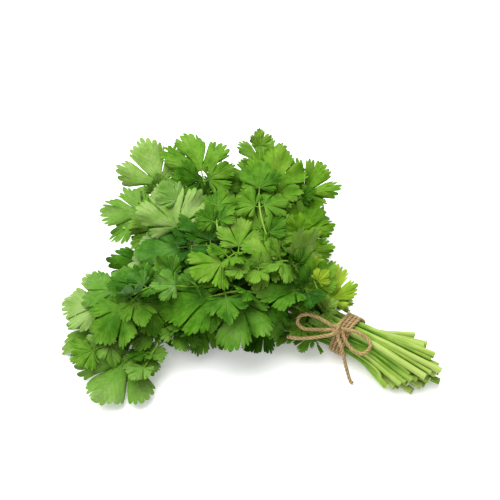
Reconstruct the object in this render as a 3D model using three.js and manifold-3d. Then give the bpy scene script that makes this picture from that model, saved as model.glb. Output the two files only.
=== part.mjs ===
// A bunch of fresh coriander, cut and tied with jute twine, lying on its side.
//
// 27 leafy stems are held in six rows by the tie. Each is two solids: a pale stem, from its cut
// end to where the leaf begins, and a green leaf, whose rib carries three, five or seven lobed and
// toothed leaflets. The tie is one length of twine: turns round the stems, a knot, two loops and
// two loose ends.
//
// Millimetres, +Z up. +X runs along the bunch towards the cut ends, and the origin is on the
// surface under the middle of the bunch. Everything is laid out from the middle of the tie, and
// moved as one at the end.
import * as THREE from 'three';
import { mergeVertices } from 'three/addons/utils/BufferGeometryUtils.js';
import Module from 'manifold-3d';

const wasm = await Module();
wasm.setup();
const { Manifold, Mesh: SolidMesh } = wasm;

// ---- driving dimensions ------------------------------------------------------------------------

const STEM_RADIUS = { cut: 2.3, tie: 2.0, leaf: 1.1 }; // a stem thins from its cut end to its leaf
const RIB_RADIUS = 0.9;
const STEM_SIDES = 5;
const STEM_PIECES = { below: 3, above: 6, rib: 4 }; // straight pieces below the tie, above, in a rib

const TIE_ROWS = [3, 4, 5, 6, 5, 4]; // stems in each row at the tie, from the top
const TIE_PITCH = 4.5; // from stem to stem in a row
const TIE_RISE = 3.9; // from row to row
const TIE_LOWEST = 4.75; // height of the lowest row's middle
const TIE_LEVEL = 8; // the stems run level this far on each side of the tie's middle

const CUT_REACH = 72; // the longest stem's end, from the tie
const CUT_SLANT = 1.15; // a stem is this much shorter for each mm that it lies off the middle
const CUT_UNEVEN = 7; // and up to this much shorter by chance
const CUT_SPREAD = 2.05; // the rows are this many times wider at the cut ends
const CUT_SIDEWAYS = 2; // the middle of the cut ends lies this far to +Y
const CUT_RISE = 3.2; // from row to row

const BLADE = 0.7; // thickness of a leaflet
const CLEAR = 0.3; // the least gap between two pieces
const LYING = 0.36; // height of a blade's middle where it lies on the surface

const TWINE = 2.4; // diameter

// ---- the leafy stems ---------------------------------------------------------------------------
// Row by row from the top of the tie, and in each row from -Y to +Y. "head" is where the rib ends
// and the end leaflet grows. "way" is how the leaf lies there, in degrees: its turn in plan, how
// far it points up and how far its left side is raised. "size" is the end leaflet's length, and
// "tone" runs from the dark green of an old leaf, 0, to the yellow green of a young one, 1. "lost"
// names leaflets that have come off.

const LEAVES = [
  { name: 'crest', head: [-81, -38, 48], way: [-132, -8, -10], size: 36, leaflets: 5, tone: 0.35 },
  { name: 'collar_top', head: [-60, 5, 50], way: [-100, -14, 0], size: 27, leaflets: 7, tone: 0.7 },
  { name: 'neck_back', head: [-17, 3, 33], way: [98, 4, 0], size: 28, leaflets: 3, tone: 0.95 },

  { name: 'brow', head: [-88, -15, 54], way: [-88, -12, 0], size: 25, leaflets: 7, tone: 0.5 },
  { name: 'crown', head: [-82, 26, 48], way: [160, 12, -12], size: 26, leaflets: 5, tone: 0.65 },
  { name: 'shoulder_top', head: [-38, -3, 42], way: [-128, -8, 0], size: 30, leaflets: 3, lost: [1], tone: 0.15 },
  { name: 'wing_back', head: [-76, 77, 37], way: [86, 14, 14], size: 28, leaflets: 5, tone: 0.55 },

  { name: 'wing_front', head: [-132, -67, 36], way: [-100, -18, 0], size: 28, leaflets: 5, tone: 0.4 },
  { name: 'plume_low', head: [-123, -12, 44], way: [-140, -12, -14], size: 32, leaflets: 5, tone: 0.12 },
  { name: 'plume', head: [-132, -3, 48], way: [126, 34, 0], size: 36, leaflets: 5, tone: 0.9 },
  { name: 'fork', head: [-94, 65, 46], way: [104, 30, 0], size: 32, leaflets: 5, tone: 0.75 },
  { name: 'shoulder_back', head: [-61, 46, 34], way: [84, 10, 14], size: 26, leaflets: 5, tone: 0.45 },

  { name: 'neck_front', head: [-25, -12, 24], way: [-160, 8, -30], size: 20, leaflets: 3, tone: 0.3 },
  { name: 'tip_front', head: [-147, -58, 30], way: [165, 6, -16], size: 29, leaflets: 5, tone: 0.4 },
  { name: 'tip_middle', head: [-166, 6, 34], way: [-158, 4, -20], size: 31, leaflets: 5, tone: 0.72 },
  { name: 'tip_pale', head: [-170, 33, 36], way: [138, 24, -8], size: 40, leaflets: 3, tone: 0.85 },
  { name: 'tip_broad', head: [-149, 56, 40], way: [134, 24, 0], size: 36, leaflets: 5, tone: 0.42 },
  { name: 'tip_back', head: [-117, 88, 36], way: [116, 30, 0], size: 25, leaflets: 5, tone: 0.5 },

  { name: 'skirt_front', head: [-113, -60, 21], way: [-142, -8, -12], size: 27, leaflets: 7, tone: 0.6 },
  { name: 'fringe_front', head: [-152, -64, 19], way: [-160, -2, -16], size: 31, leaflets: 5, tone: 0.8 },
  { name: 'under_middle', head: [-128, 16, 16], way: [170, 0, 0], size: 38, leaflets: 5, tone: 0.25 },
  { name: 'under_back', head: [-128, 58, 16], way: [140, 4, 0], size: 38, leaflets: 5, tone: 0.35 },
  { name: 'hem_back', head: [-78, 62, 14], way: [96, 6, 14], size: 34, leaflets: 5, tone: 0.35 },

  { name: 'foot_front', head: [-120, -86, 9], way: [-88, -4, 0], size: 37, leaflets: 3, lost: [1], tone: 0.5 },
  { name: 'hem_front', head: [-66, -20, 10], way: [-156, 0, -10], size: 26, leaflets: 7, tone: 0.2 },
  { name: 'fringe_low', head: [-148, -76, 9], way: [-118, -4, 0], size: 30, leaflets: 5, tone: 0.55 },
  { name: 'under_front', head: [-136, -20, 18], way: [-164, 2, -8], size: 34, leaflets: 7, tone: 0.3 },
];

// Where a leaflet's stalk leaves the rib, as a length back from the head, and the way it points.
// Lengths here and in the outline are shares of the end leaflet's, and of the leaflet's own. A
// leaf of three has the first three.
const LEAFLETS = [
  { back: 0, stalk: 0.06, turn: 0, nose: 0, scale: 1 },
  { back: 0.52, stalk: 0.2, turn: 72, nose: -4, scale: 0.88 },
  { back: 0.52, stalk: 0.2, turn: -72, nose: -4, scale: 0.88 },
  { back: 1.3, stalk: 0.22, turn: 78, nose: -6, scale: 0.8 },
  { back: 1.3, stalk: 0.22, turn: -78, nose: -6, scale: 0.8 },
  { back: 2.0, stalk: 0.22, turn: 80, nose: 20, scale: 0.92 },
  { back: 2.0, stalk: 0.22, turn: -80, nose: 20, scale: 0.92 },
];
const RIB_PAST_LAST = 0.14; // the rib runs on behind the last pair
const RIB_SHARE = 0.82; // the most of a stem's length above the tie that may be rib
const STALK = 1.2; // width of a leaflet's stalk, which is as thick as the blade
const STALK_FROM = { end: -1.2, side: 0.5 }; // where a stalk begins, from the rib's middle line

// Half of a leaflet's outline, as degrees off its middle vein and the reach from its base: an end
// lobe and a side lobe, with three teeth each and a deep notch between them.
const TEETH = [
  { at: 0, reach: 1 },
  { at: 10, reach: 0.87 },
  { at: 20, reach: 0.93 },
  { at: 32, reach: 0.55 },
  { at: 45, reach: 0.9 },
  { at: 57, reach: 0.77 },
  { at: 71, reach: 0.84 },
];
const NOTCH = 3; // the deep notch's place in the list
const LEAFLET_WIDTH = 0.9; // the outline is drawn in to this share across the middle vein
const FAN = 0.24; // a blade's triangles meet this far along its middle vein

// How far each leaflet lies off its place by chance, in degrees.
const UNEVEN = { end: { turn: 4, nose: 8, roll: 10 }, side: { turn: 10, nose: 22, roll: 28 } };

// A leaflet that would meet another piece is turned and shrunk, a little more at each try.
const TRIES = 60;
const TRY_TURN = { turn: 36, nose: 50, roll: 56 };
const TRY_SHIFT = 0.25; // share of its place along the rib
const TRY_SHRINK = 0.35;
const APART_TRIES = 40; // after these, a leaflet may grow through another of its own leaf
const OWN_GAP = 0.05; // the least gap between two leaflets of one leaf

// ---- chance ------------------------------------------------------------------------------------

// A number from 0 to 1 that is always the same for the same whole numbers.
function chance(...numbers) {
  let h = 2166136261;
  for (const n of numbers) h = Math.imul(h ^ (n + 1), 16777619);
  h ^= h >>> 15;
  h = Math.imul(h, 0x2c1b3c6d);
  h ^= h >>> 12;
  h = Math.imul(h, 0x297a2d39);
  h ^= h >>> 15;
  return (h >>> 0) / 4294967296;
}

const spread = (...numbers) => 2 * chance(...numbers) - 1; // from -1 to 1
const clamp = (x) => Math.min(1, Math.max(0, x));

// ---- solids ------------------------------------------------------------------------------------

function solidOf(geometry) {
  const bare = geometry.clone();
  bare.deleteAttribute('normal');
  bare.deleteAttribute('uv');
  const merged = mergeVertices(bare, 1e-4);
  return new Manifold(new SolidMesh({
    numProp: 3,
    vertProperties: new Float32Array(merged.attributes.position.array),
    triVerts: new Uint32Array(merged.index.array),
  }));
}

function geometryOf(solid) {
  const mesh = solid.getMesh();
  const geometry = new THREE.BufferGeometry();
  geometry.setAttribute('position', new THREE.BufferAttribute(mesh.vertProperties, 3));
  geometry.setIndex(new THREE.BufferAttribute(mesh.triVerts, 1));
  return geometry;
}

// Two directions square to a line of points at each of them, carried along without twist.
function squareTo(points) {
  let normal = new THREE.Vector3(0, 0, 1);
  return points.map((point, k) => {
    const before = points[Math.max(k - 1, 0)];
    const after = points[Math.min(k + 1, points.length - 1)];
    const tangent = after.clone().sub(before).normalize();
    normal = normal.clone().addScaledVector(tangent, -normal.dot(tangent)).normalize();
    return { normal, binormal: new THREE.Vector3().crossVectors(tangent, normal) };
  });
}

// A cylinder bent along a line of points.
function tubeAlong(points, radiusAt, sides) {
  const steps = points.length - 1;
  const square = squareTo(points);
  const tube = new THREE.CylinderGeometry(1, 1, 1, sides, steps);
  const at = tube.attributes.position;
  for (let i = 0; i < at.count; i += 1) {
    const k = Math.round((0.5 + at.getY(i)) * steps);
    const place = points[k].clone()
      .addScaledVector(square[k].normal, radiusAt(k) * at.getX(i))
      .addScaledVector(square[k].binormal, -radiusAt(k) * at.getZ(i));
    at.setXYZ(i, place.x, place.y, place.z);
  }
  return solidOf(tube);
}

// ---- directions --------------------------------------------------------------------------------

const LEVEL = {
  ahead: new THREE.Vector3(1, 0, 0),
  left: new THREE.Vector3(0, 1, 0),
  up: new THREE.Vector3(0, 0, 1),
};

// Turns two of three directions that are square to each other, the first towards the second.
function swing(a, b, degrees) {
  const angle = THREE.MathUtils.degToRad(degrees);
  return [
    a.clone().multiplyScalar(Math.cos(angle)).addScaledVector(b, Math.sin(angle)),
    b.clone().multiplyScalar(Math.cos(angle)).addScaledVector(a, -Math.sin(angle)),
  ];
}

// Ahead, left and up, turned about up, then raised, then leant.
function turned(from, turn, nose, roll) {
  let { ahead, left, up } = from;
  [ahead, left] = swing(ahead, left, turn);
  [ahead, up] = swing(ahead, up, nose);
  [left, up] = swing(left, up, roll);
  return { ahead, left, up };
}

const frameOf = (leaf) => turned(LEVEL, ...leaf.way);

// ---- the stems' middle lines -------------------------------------------------------------------

// Where each stem lies in the tie, and where its cut end is.
function stemSlots() {
  const slots = [];
  TIE_ROWS.forEach((count, row) => {
    const level = TIE_ROWS.length - 1 - row;
    for (let k = 0; k < count; k += 1) {
      const side = (k - (count - 1) / 2) * TIE_PITCH;
      const across = side * CUT_SPREAD;
      const reach = CUT_REACH - CUT_SLANT * Math.abs(across) - CUT_UNEVEN * chance(slots.length, 1);
      slots.push({
        side,
        height: TIE_LOWEST + level * TIE_RISE,
        cut: new THREE.Vector3(reach, across + CUT_SIDEWAYS, STEM_RADIUS.cut + level * CUT_RISE),
      });
    }
  });
  return slots;
}

// A bend from one point to another that keeps a direction at each end, over a share of the way.
function bendBetween(from, out, to, back, share) {
  const hold = share * from.distanceTo(to);
  return new THREE.CubicBezierCurve3(
    from,
    from.clone().addScaledVector(out, hold),
    to.clone().addScaledVector(back, hold),
    to,
  );
}

const DOWN_STEM = new THREE.Vector3(1, 0, 0);
const UP_STEM = new THREE.Vector3(-1, 0, 0);

function lineBelow(slot) {
  const tie = new THREE.Vector3(TIE_LEVEL, slot.side, slot.height);
  const inwards = tie.clone().sub(slot.cut).normalize();
  return bendBetween(slot.cut, inwards, tie, DOWN_STEM, 0.4).getSpacedPoints(STEM_PIECES.below);
}

const ribLength = (leaf) => (LEAFLETS[leaf.leaflets - 1].back + RIB_PAST_LAST) * leaf.size;

// From the tie to the head. The last pieces are the leaf's rib.
function lineAbove(slot, leaf) {
  const tie = new THREE.Vector3(-TIE_LEVEL, slot.side, slot.height);
  const backwards = frameOf(leaf).ahead.negate();
  const bend = bendBetween(tie, UP_STEM, new THREE.Vector3(...leaf.head), backwards, 0.36);
  const rib = Math.min(RIB_SHARE, ribLength(leaf) / bend.getLength());
  const line = [];
  for (let k = 0; k < STEM_PIECES.above; k += 1) {
    line.push(bend.getPointAt(((1 - rib) * k) / STEM_PIECES.above));
  }
  for (let k = 0; k <= STEM_PIECES.rib; k += 1) {
    line.push(bend.getPointAt(1 - rib + (rib * k) / STEM_PIECES.rib));
  }
  return line;
}

function radiusAbove(k) {
  if (k > STEM_PIECES.above) return RIB_RADIUS;
  return STEM_RADIUS.tie + (STEM_RADIUS.leaf - STEM_RADIUS.tie) * (k / STEM_PIECES.above);
}

// ---- stems that would cross push each other aside ----------------------------------------------

const SETTLE_STEPS = 120;
const SETTLE_ROOM = 0.4; // room between two stems, beyond the least gap
const SETTLE_PUSH = 0.45; // share of an overlap taken up by each stem at a step
const SETTLE_STIFF = 0.12; // share of a kink evened out at a step
const SETTLE_FREE = { from: 9, over: 12 }; // how far from the tie a stem begins to give way

// The nearest points of two straight pieces, as shares of the way along each, and the way between.
function nearest(a0, a1, b0, b1) {
  const u = a1.clone().sub(a0);
  const v = b1.clone().sub(b0);
  const w = a0.clone().sub(b0);
  const uu = u.dot(u);
  const uv = u.dot(v);
  const vv = v.dot(v);
  const square = uu * vv - uv * uv;
  let s = square > 1e-9 * uu * vv ? clamp((uv * v.dot(w) - vv * u.dot(w)) / square) : 0.5;
  const t = clamp((uv * s + v.dot(w)) / vv);
  s = clamp((uv * t - u.dot(w)) / uu);
  return { s, t, apart: v.multiplyScalar(t).sub(u.multiplyScalar(s)).sub(w) };
}

function farApart(a0, a1, b0, b1, room) {
  return ['x', 'y', 'z'].some((c) => Math.min(a0[c], a1[c]) - room > Math.max(b0[c], b1[c])
    || Math.min(b0[c], b1[c]) - room > Math.max(a0[c], a1[c]));
}

// Adds the push that each end gets from every two pieces of two lines that are too near.
function pushApart(one, other, pushOne, pushOther) {
  for (let k = 1; k < one.length; k += 1) {
    for (let l = 1; l < other.length; l += 1) {
      const room = radiusAbove(k) + radiusAbove(l) + CLEAR + SETTLE_ROOM;
      if (farApart(one[k - 1], one[k], other[l - 1], other[l], room)) continue;
      const { s, t, apart } = nearest(one[k - 1], one[k], other[l - 1], other[l]);
      const gap = apart.length();
      if (gap >= room || gap === 0) continue;
      apart.multiplyScalar(((room - gap) * SETTLE_PUSH) / gap);
      pushOne[k - 1].addScaledVector(apart, -(1 - s));
      pushOne[k].addScaledVector(apart, -s);
      pushOther[l - 1].addScaledVector(apart, 1 - t);
      pushOther[l].addScaledVector(apart, t);
    }
  }
}

// Moves the lines in place. The pushes bend a stem over some length, rather than kink it.
function settle(lines) {
  const freedom = (p) => clamp((-p.x - SETTLE_FREE.from) / SETTLE_FREE.over);
  const free = lines.map((line) => line.map(freedom));
  const drawn = lines.map((line) => line.map((p) => p.clone()));
  for (let step = 0; step < SETTLE_STEPS; step += 1) {
    const push = lines.map((line) => line.map(() => new THREE.Vector3()));
    lines.forEach((one, i) => {
      for (let j = i + 1; j < lines.length; j += 1) pushApart(one, lines[j], push[i], push[j]);
    });
    lines.forEach((line, i) => {
      const shift = line.map((p, k) => p.clone().sub(drawn[i][k]));
      const last = line.length - 1;
      line.forEach((p, k) => {
        const around = shift[Math.max(k - 1, 0)].clone().add(shift[Math.min(k + 1, last)]);
        const even = around.multiplyScalar(0.5).sub(shift[k]);
        p.addScaledVector(push[i][k], free[i][k]).addScaledVector(even, SETTLE_STIFF * free[i][k]);
        p.z = Math.max(p.z, radiusAbove(k));
      });
    });
  }
}

function stemSolid(below, above) {
  const points = [...below, ...above.slice(0, STEM_PIECES.above + 1)];
  const last = below.length - 1;
  const radiusAt = (k) => (k > last
    ? radiusAbove(k - below.length)
    : STEM_RADIUS.cut + (STEM_RADIUS.tie - STEM_RADIUS.cut) * (k / last));
  return tubeAlong(points, radiusAt, STEM_SIDES);
}

// ---- leaves ------------------------------------------------------------------------------------

const RIB_SIDES = 4;
const RIB_OFF = 1.5 * CLEAR; // between the stem's end and the rib's

function ribSolid(line) {
  const points = line.slice(STEM_PIECES.above).map((p) => p.clone());
  points[0].add(points[1].clone().sub(points[0]).setLength(RIB_OFF));
  return tubeAlong(points, () => RIB_RADIUS, RIB_SIDES);
}

// The point of a rib this far back from its end, or near its start, and the directions there.
function placeBack(leaf, line, far) {
  const drawn = frameOf(leaf);
  let k = line.length - 1;
  let rest = far;
  while (k > STEM_PIECES.above + 1 && rest > line[k].distanceTo(line[k - 1])) {
    rest -= line[k].distanceTo(line[k - 1]);
    k -= 1;
  }
  rest = Math.min(rest, line[k].distanceTo(line[k - 1]) - 2 * RIB_OFF - STALK);
  const ahead = line[k].clone().sub(line[k - 1]).normalize();
  const up = drawn.up.addScaledVector(ahead, -drawn.up.dot(ahead)).normalize();
  const left = new THREE.Vector3().crossVectors(up, ahead);
  return { point: line[k].clone().addScaledVector(ahead, -rest), ahead, left, up };
}

// How one leaflet lies at one try: where its stalk and its blade begin, the way it faces, its
// size and its form.
function leafletPose(leaf, number, line, which, attempt) {
  const { back, stalk, turn, nose, scale } = LEAFLETS[which];
  const share = attempt / TRIES;
  const drift = (k) => share * spread(number, which, attempt, k);
  const on = placeBack(leaf, line, back * leaf.size * (1 + TRY_SHIFT * drift(1)));
  const loose = which ? UNEVEN.side : UNEVEN.end;
  const pose = turned(
    on,
    turn + loose.turn * spread(number, which, 1) + TRY_TURN.turn * drift(2),
    nose + loose.nose * spread(number, which, 2) + TRY_TURN.nose * drift(3),
    loose.roll * spread(number, which, 3) + TRY_TURN.roll * drift(4),
  );
  const from = which ? STALK_FROM.side : STALK_FROM.end;
  return {
    ...pose,
    root: on.point.clone().addScaledVector(pose.ahead, from),
    base: on.point.clone().addScaledVector(pose.ahead, stalk * leaf.size),
    size: leaf.size * scale * (1 + 0.08 * spread(number, which, 4)) * (1 - TRY_SHRINK * share),
    fold: 0.16 + 0.2 * spread(number, which, 5),
    droop: 0.2 + 0.22 * spread(number, which, 6),
    turns: 180 * spread(number, which, 7),
    notch: 0.06 * spread(number, which, 8),
  };
}

const WAVE = { height: 0.05, count: 5 };

// How far a point of a leaflet stands off its flat, in lengths: folded up along the middle vein,
// drooping towards its edge and waved along it. x is across the vein and y along it, in lengths.
function standOff({ fold, droop, turns }, x, y) {
  const r = Math.hypot(x, y);
  const wave = Math.sin(WAVE.count * Math.atan2(x, y) + THREE.MathUtils.degToRad(turns));
  return fold * Math.abs(x) - droop * r * r + WAVE.height * wave * r * r;
}

// Where the blade's triangles meet, then once round: the stalk's right side, the teeth from right
// to left, and the stalk's left side.
function bladeOutline({ size, notch, root, base }) {
  const right = TEETH.map(({ at, reach }, k) => {
    const angle = THREE.MathUtils.degToRad(at);
    const r = k === NOTCH ? reach + notch : reach;
    return [LEAFLET_WIDTH * r * Math.sin(angle), r * Math.cos(angle)];
  });
  const left = right.slice(1).map(([x, y]) => [-x, y]);
  const half = STALK / 2 / size;
  const end = -root.distanceTo(base) / size;
  return [
    [0, FAN],
    [half, end],
    [half, 0],
    ...right.reverse(),
    ...left,
    [-half, 0],
    [-half, end],
  ];
}

function leafletSolid(pose) {
  const { base, ahead, left, up, size } = pose;
  const outline = bladeOutline(pose);
  const count = outline.length;
  const at = new Float32Array(count * 6);
  outline.forEach(([x, y], i) => {
    const middle = base.clone()
      .addScaledVector(left, -x * size)
      .addScaledVector(ahead, y * size)
      .addScaledVector(up, y < 0 ? 0 : standOff(pose, x, y) * size);
    if (y > 0) middle.z = Math.max(middle.z, LYING);
    const over = middle.clone().addScaledVector(up, BLADE / 2);
    const under = middle.clone().addScaledVector(up, -BLADE / 2);
    at.set([over.x, over.y, over.z], i * 3);
    at.set([under.x, under.y, under.z], (count + i) * 3);
  });
  const faces = [];
  for (let i = 1; i < count; i += 1) {
    const next = i + 1 < count ? i + 1 : 1;
    faces.push(0, i, next);
    faces.push(count, count + next, count + i);
    faces.push(i, count + i, count + next);
    faces.push(i, count + next, next);
  }
  const geometry = new THREE.BufferGeometry();
  geometry.setAttribute('position', new THREE.BufferAttribute(at, 3));
  geometry.setIndex(faces);
  return solidOf(geometry);
}

// Whether two solids come nearer than a gap.
function meets(a, b, gap) {
  const p = a.boundingBox();
  const q = b.boundingBox();
  const near = [0, 1, 2].every((k) => p.min[k] - gap < q.max[k] && q.min[k] - gap < p.max[k]);
  return near && a.minGap(b, gap) < gap;
}

// The leaflets of every leaf, each at the first of its tries that is clear of everything else: all
// the end leaflets first, and then pair after pair.
function layLeaflets(lines, ribs, others) {
  const laid = LEAVES.map(() => []);
  LEAFLETS.forEach((spot, which) => {
    LEAVES.forEach((leaf, i) => {
      if (which >= leaf.leaflets || leaf.lost?.includes(which)) return;
      const foreign = [...ribs, ...laid].filter((solid, k) => k % LEAVES.length !== i).flat();
      for (let attempt = 0; attempt < TRIES; attempt += 1) {
        const leaflet = leafletSolid(leafletPose(leaf, i, lines[i], which, attempt));
        const crossesOwn = attempt < APART_TRIES && laid[i].some((b) => meets(leaflet, b, OWN_GAP));
        if (!crossesOwn && ![...others, ...foreign].some((b) => meets(leaflet, b, CLEAR))) {
          laid[i].push(leaflet);
          break;
        }
      }
    });
  });
  return laid;
}

// ---- the tie -----------------------------------------------------------------------------------

const WRAP_TURNS = 4;
const WRAP_STEPS = 16; // for each turn
const WRAP_OFF = 0.4; // between the stems and the twine
const WRAP_PITCH = 0.15 + TWINE;
const WRAP_SLANT = 0.18; // the turns lean this far along the bunch for each mm across it
const WRAP_START = -135; // degrees round from +Y, where the first turn begins

// The turns lie round the stems as a tight thread does: each way out from the middle, they are
// held off by the stem that stands out furthest.
function wrapSolid(slots) {
  const off = STEM_RADIUS.tie + WRAP_OFF + TWINE / 2;
  const points = [];
  for (let k = 0; k <= WRAP_TURNS * WRAP_STEPS; k += 1) {
    const angle = THREE.MathUtils.degToRad(WRAP_START + (360 * k) / WRAP_STEPS);
    const y = Math.cos(angle);
    const z = Math.sin(angle);
    const outward = (slot) => slot.side * y + slot.height * z;
    const { side, height } = slots.reduce((a, b) => (outward(b) > outward(a) ? b : a));
    const x = (k / WRAP_STEPS - WRAP_TURNS / 2) * WRAP_PITCH + WRAP_SLANT * side;
    points.push(new THREE.Vector3(x, side + y * off, height + z * off));
  }
  return tubeAlong(points, () => TWINE / 2, 5);
}

const KNOT_AT = new THREE.Vector3(-3, -10, 30.3);
const KNOT_WAY = new THREE.Vector3(0.96, 0.24, -0.08).normalize(); // the way the bow's strands run
const KNOT_OUT = new THREE.Vector3(0, -0.6, 0.8); // away from the stems
const KNOT_RING = { width: 6.8, height: 4.2, pieces: 12 }; // of the middle of its twine
const KNOT_STRAND = 9.5; // length of each strand in the knot

// The knot: a ring of twine drawn tight round the two strands of the bow.
function knotSolid() {
  const out = KNOT_OUT.clone().addScaledVector(KNOT_WAY, -KNOT_OUT.dot(KNOT_WAY)).normalize();
  const side = new THREE.Vector3().crossVectors(KNOT_WAY, out);
  const ring = new THREE.TorusGeometry(KNOT_RING.width, TWINE / 2, 5, KNOT_RING.pieces);
  const at = ring.attributes.position;
  for (let i = 0; i < at.count; i += 1) {
    const angle = Math.atan2(at.getY(i), at.getX(i));
    const thick = Math.hypot(at.getX(i), at.getY(i)) - KNOT_RING.width;
    const place = KNOT_AT.clone()
      .addScaledVector(side, (KNOT_RING.width / 2 + thick) * Math.cos(angle))
      .addScaledVector(out, (KNOT_RING.height / 2 + thick) * Math.sin(angle))
      .addScaledVector(KNOT_WAY, -at.getZ(i));
    at.setXYZ(i, place.x, place.y, place.z);
  }
  const strands = [-1, 1].map((way) => {
    const middle = KNOT_AT.clone().addScaledVector(side, way * TWINE * 0.46);
    const ends = [-1, 1].map((end) => middle.clone().addScaledVector(KNOT_WAY, (end * KNOT_STRAND) / 2));
    return tubeAlong(ends, () => TWINE / 2, 6);
  });
  return Manifold.union([solidOf(ring), ...strands]);
}

// The free parts of the bow: points on the way of each, from the knot.
const BOW = {
  twine_loop_a: [
    [-8.4, -10.4, 31.8], [-14, -10.8, 34], [-20, -11.4, 35.2], [-25.5, -13, 35.2], [-28.8, -16, 34],
    [-28.4, -19.4, 32], [-24.5, -20.9, 30.4], [-19, -19, 29.8], [-13.5, -16, 29.7], [-8.6, -13.4, 29.6],
  ],
  twine_loop_b: [
    [2.5, -8, 31], [6.5, -6.6, 31], [11.5, -5.6, 29.8], [16.5, -5.4, 28.2], [20.3, -7.2, 26.6],
    [20.6, -11, 24], [17.5, -14.6, 22.2], [12.5, -15.6, 22.8], [7.5, -14.4, 25], [3, -12.4, 27.8],
  ],
  twine_tail_a: [
    [-4.9, -14.5, 28.2], [-12.6, -20.2, 27], [-19, -24, 25.7], [-25, -26.5, 24.4], [-31.4, -27.6, 22.8],
  ],
  twine_tail_b: [
    [-0.5, -14.2, 27.8], [4, -17.5, 23.5], [7.5, -20, 18], [10.5, -22, 12], [13.5, -23.8, 6.5],
    [15.8, -25, 2.6], [18.3, -26, 1.35],
  ],
};
const CORD_SIDES = 8;
const CORD_STEP = 2.2; // diameters from ring to ring

function cordSolid(points) {
  const path = new THREE.CatmullRomCurve3(points.map((p) => new THREE.Vector3(...p)));
  const section = new THREE.Shape();
  for (let k = 0; k < CORD_SIDES; k += 1) {
    const angle = (k / CORD_SIDES) * 2 * Math.PI;
    const corner = [(TWINE / 2) * Math.cos(angle), (TWINE / 2) * Math.sin(angle)];
    if (k) section.lineTo(...corner);
    else section.moveTo(...corner);
  }
  const steps = Math.round(path.getLength() / (CORD_STEP * TWINE));
  return solidOf(new THREE.ExtrudeGeometry(section, { steps, extrudePath: path, bevelEnabled: false }));
}

// ---- putting it together -----------------------------------------------------------------------

const COLOURS = { stem: 0x9cc25a, dark: 0x2f6b22, young: 0x8dbb4a, twine: 0xb08d57 };

function node(name, solid, color, roughness) {
  const mesh = new THREE.Mesh(
    geometryOf(solid),
    new THREE.MeshStandardMaterial({ color, roughness, metalness: 0 }),
  );
  mesh.name = name;
  return mesh;
}

function buildBunch() {
  const slots = stemSlots();
  const lines = LEAVES.map((leaf, i) => lineAbove(slots[i], leaf));
  settle(lines);
  const stems = LEAVES.map((leaf, i) => stemSolid(lineBelow(slots[i]), lines[i]));
  const ribs = lines.map(ribSolid);
  const wrap = wrapSolid(slots);
  const knot = knotSolid();
  const cords = Object.entries(BOW).map(([name, points]) => ({ name, solid: cordSolid(points) }));
  const leaflets = layLeaflets(lines, ribs, [...stems, wrap, knot, ...cords.map((c) => c.solid)]);

  const bunch = new THREE.Group();
  LEAVES.forEach((leaf, i) => {
    const green = new THREE.Color(COLOURS.dark).lerp(new THREE.Color(COLOURS.young), leaf.tone);
    bunch.add(node(`stem_${leaf.name}`, stems[i], COLOURS.stem, 0.45));
    bunch.add(node(`leaf_${leaf.name}`, Manifold.union([ribs[i], ...leaflets[i]]), green, 0.5));
  });
  bunch.add(node('twine_wrap', wrap, COLOURS.twine, 0.9));
  bunch.add(node('twine_knot', knot, COLOURS.twine, 0.9));

  // The origin is under the middle of all this; the free ends of the bow aren't counted.
  const box = new THREE.Box3().setFromObject(bunch);
  const middle = box.getCenter(new THREE.Vector3());
  for (const { name, solid } of cords) bunch.add(node(name, solid, COLOURS.twine, 0.9));
  for (const mesh of bunch.children) mesh.geometry.translate(-middle.x, -middle.y, -box.min.z);
  return bunch;
}

export default buildBunch();
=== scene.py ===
"""A bunch of fresh coriander, cut, tied with jute twine and laid on its side."""

import math

import bpy
import numpy as np
from mathutils import Matrix, Vector


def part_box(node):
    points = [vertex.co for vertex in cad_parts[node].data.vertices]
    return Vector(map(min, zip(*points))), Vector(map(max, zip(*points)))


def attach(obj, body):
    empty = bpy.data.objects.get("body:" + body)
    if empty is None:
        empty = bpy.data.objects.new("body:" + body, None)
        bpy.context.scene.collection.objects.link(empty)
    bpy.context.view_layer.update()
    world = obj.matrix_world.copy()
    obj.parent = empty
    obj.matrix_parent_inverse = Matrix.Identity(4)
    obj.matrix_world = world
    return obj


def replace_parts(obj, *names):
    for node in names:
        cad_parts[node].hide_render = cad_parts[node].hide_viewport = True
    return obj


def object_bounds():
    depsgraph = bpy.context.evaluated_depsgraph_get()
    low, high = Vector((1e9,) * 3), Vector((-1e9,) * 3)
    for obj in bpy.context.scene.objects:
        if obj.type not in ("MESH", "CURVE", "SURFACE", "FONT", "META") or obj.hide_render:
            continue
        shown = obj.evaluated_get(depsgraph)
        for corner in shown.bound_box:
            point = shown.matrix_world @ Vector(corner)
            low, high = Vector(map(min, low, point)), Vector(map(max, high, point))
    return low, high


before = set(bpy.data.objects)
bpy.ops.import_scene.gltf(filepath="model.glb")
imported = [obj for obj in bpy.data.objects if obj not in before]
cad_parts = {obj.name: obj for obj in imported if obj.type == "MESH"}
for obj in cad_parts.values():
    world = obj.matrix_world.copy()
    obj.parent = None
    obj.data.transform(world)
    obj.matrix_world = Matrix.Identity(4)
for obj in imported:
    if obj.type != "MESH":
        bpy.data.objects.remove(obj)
cad_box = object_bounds()
scene = bpy.context.scene
MM = 0.001

# ---- the middle of the tie ---------------------------------------------------------------------
# The whole bunch is laid out in millimetres from the middle of its tie, on the surface under it.
# The knot's lowest corner tells where that point is in the frame.
KNOT_CORNER = np.array([-8.0482, -14.0783, 26.6147])
TIE = np.array(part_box("twine_knot")[0]) / MM - KNOT_CORNER

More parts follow.
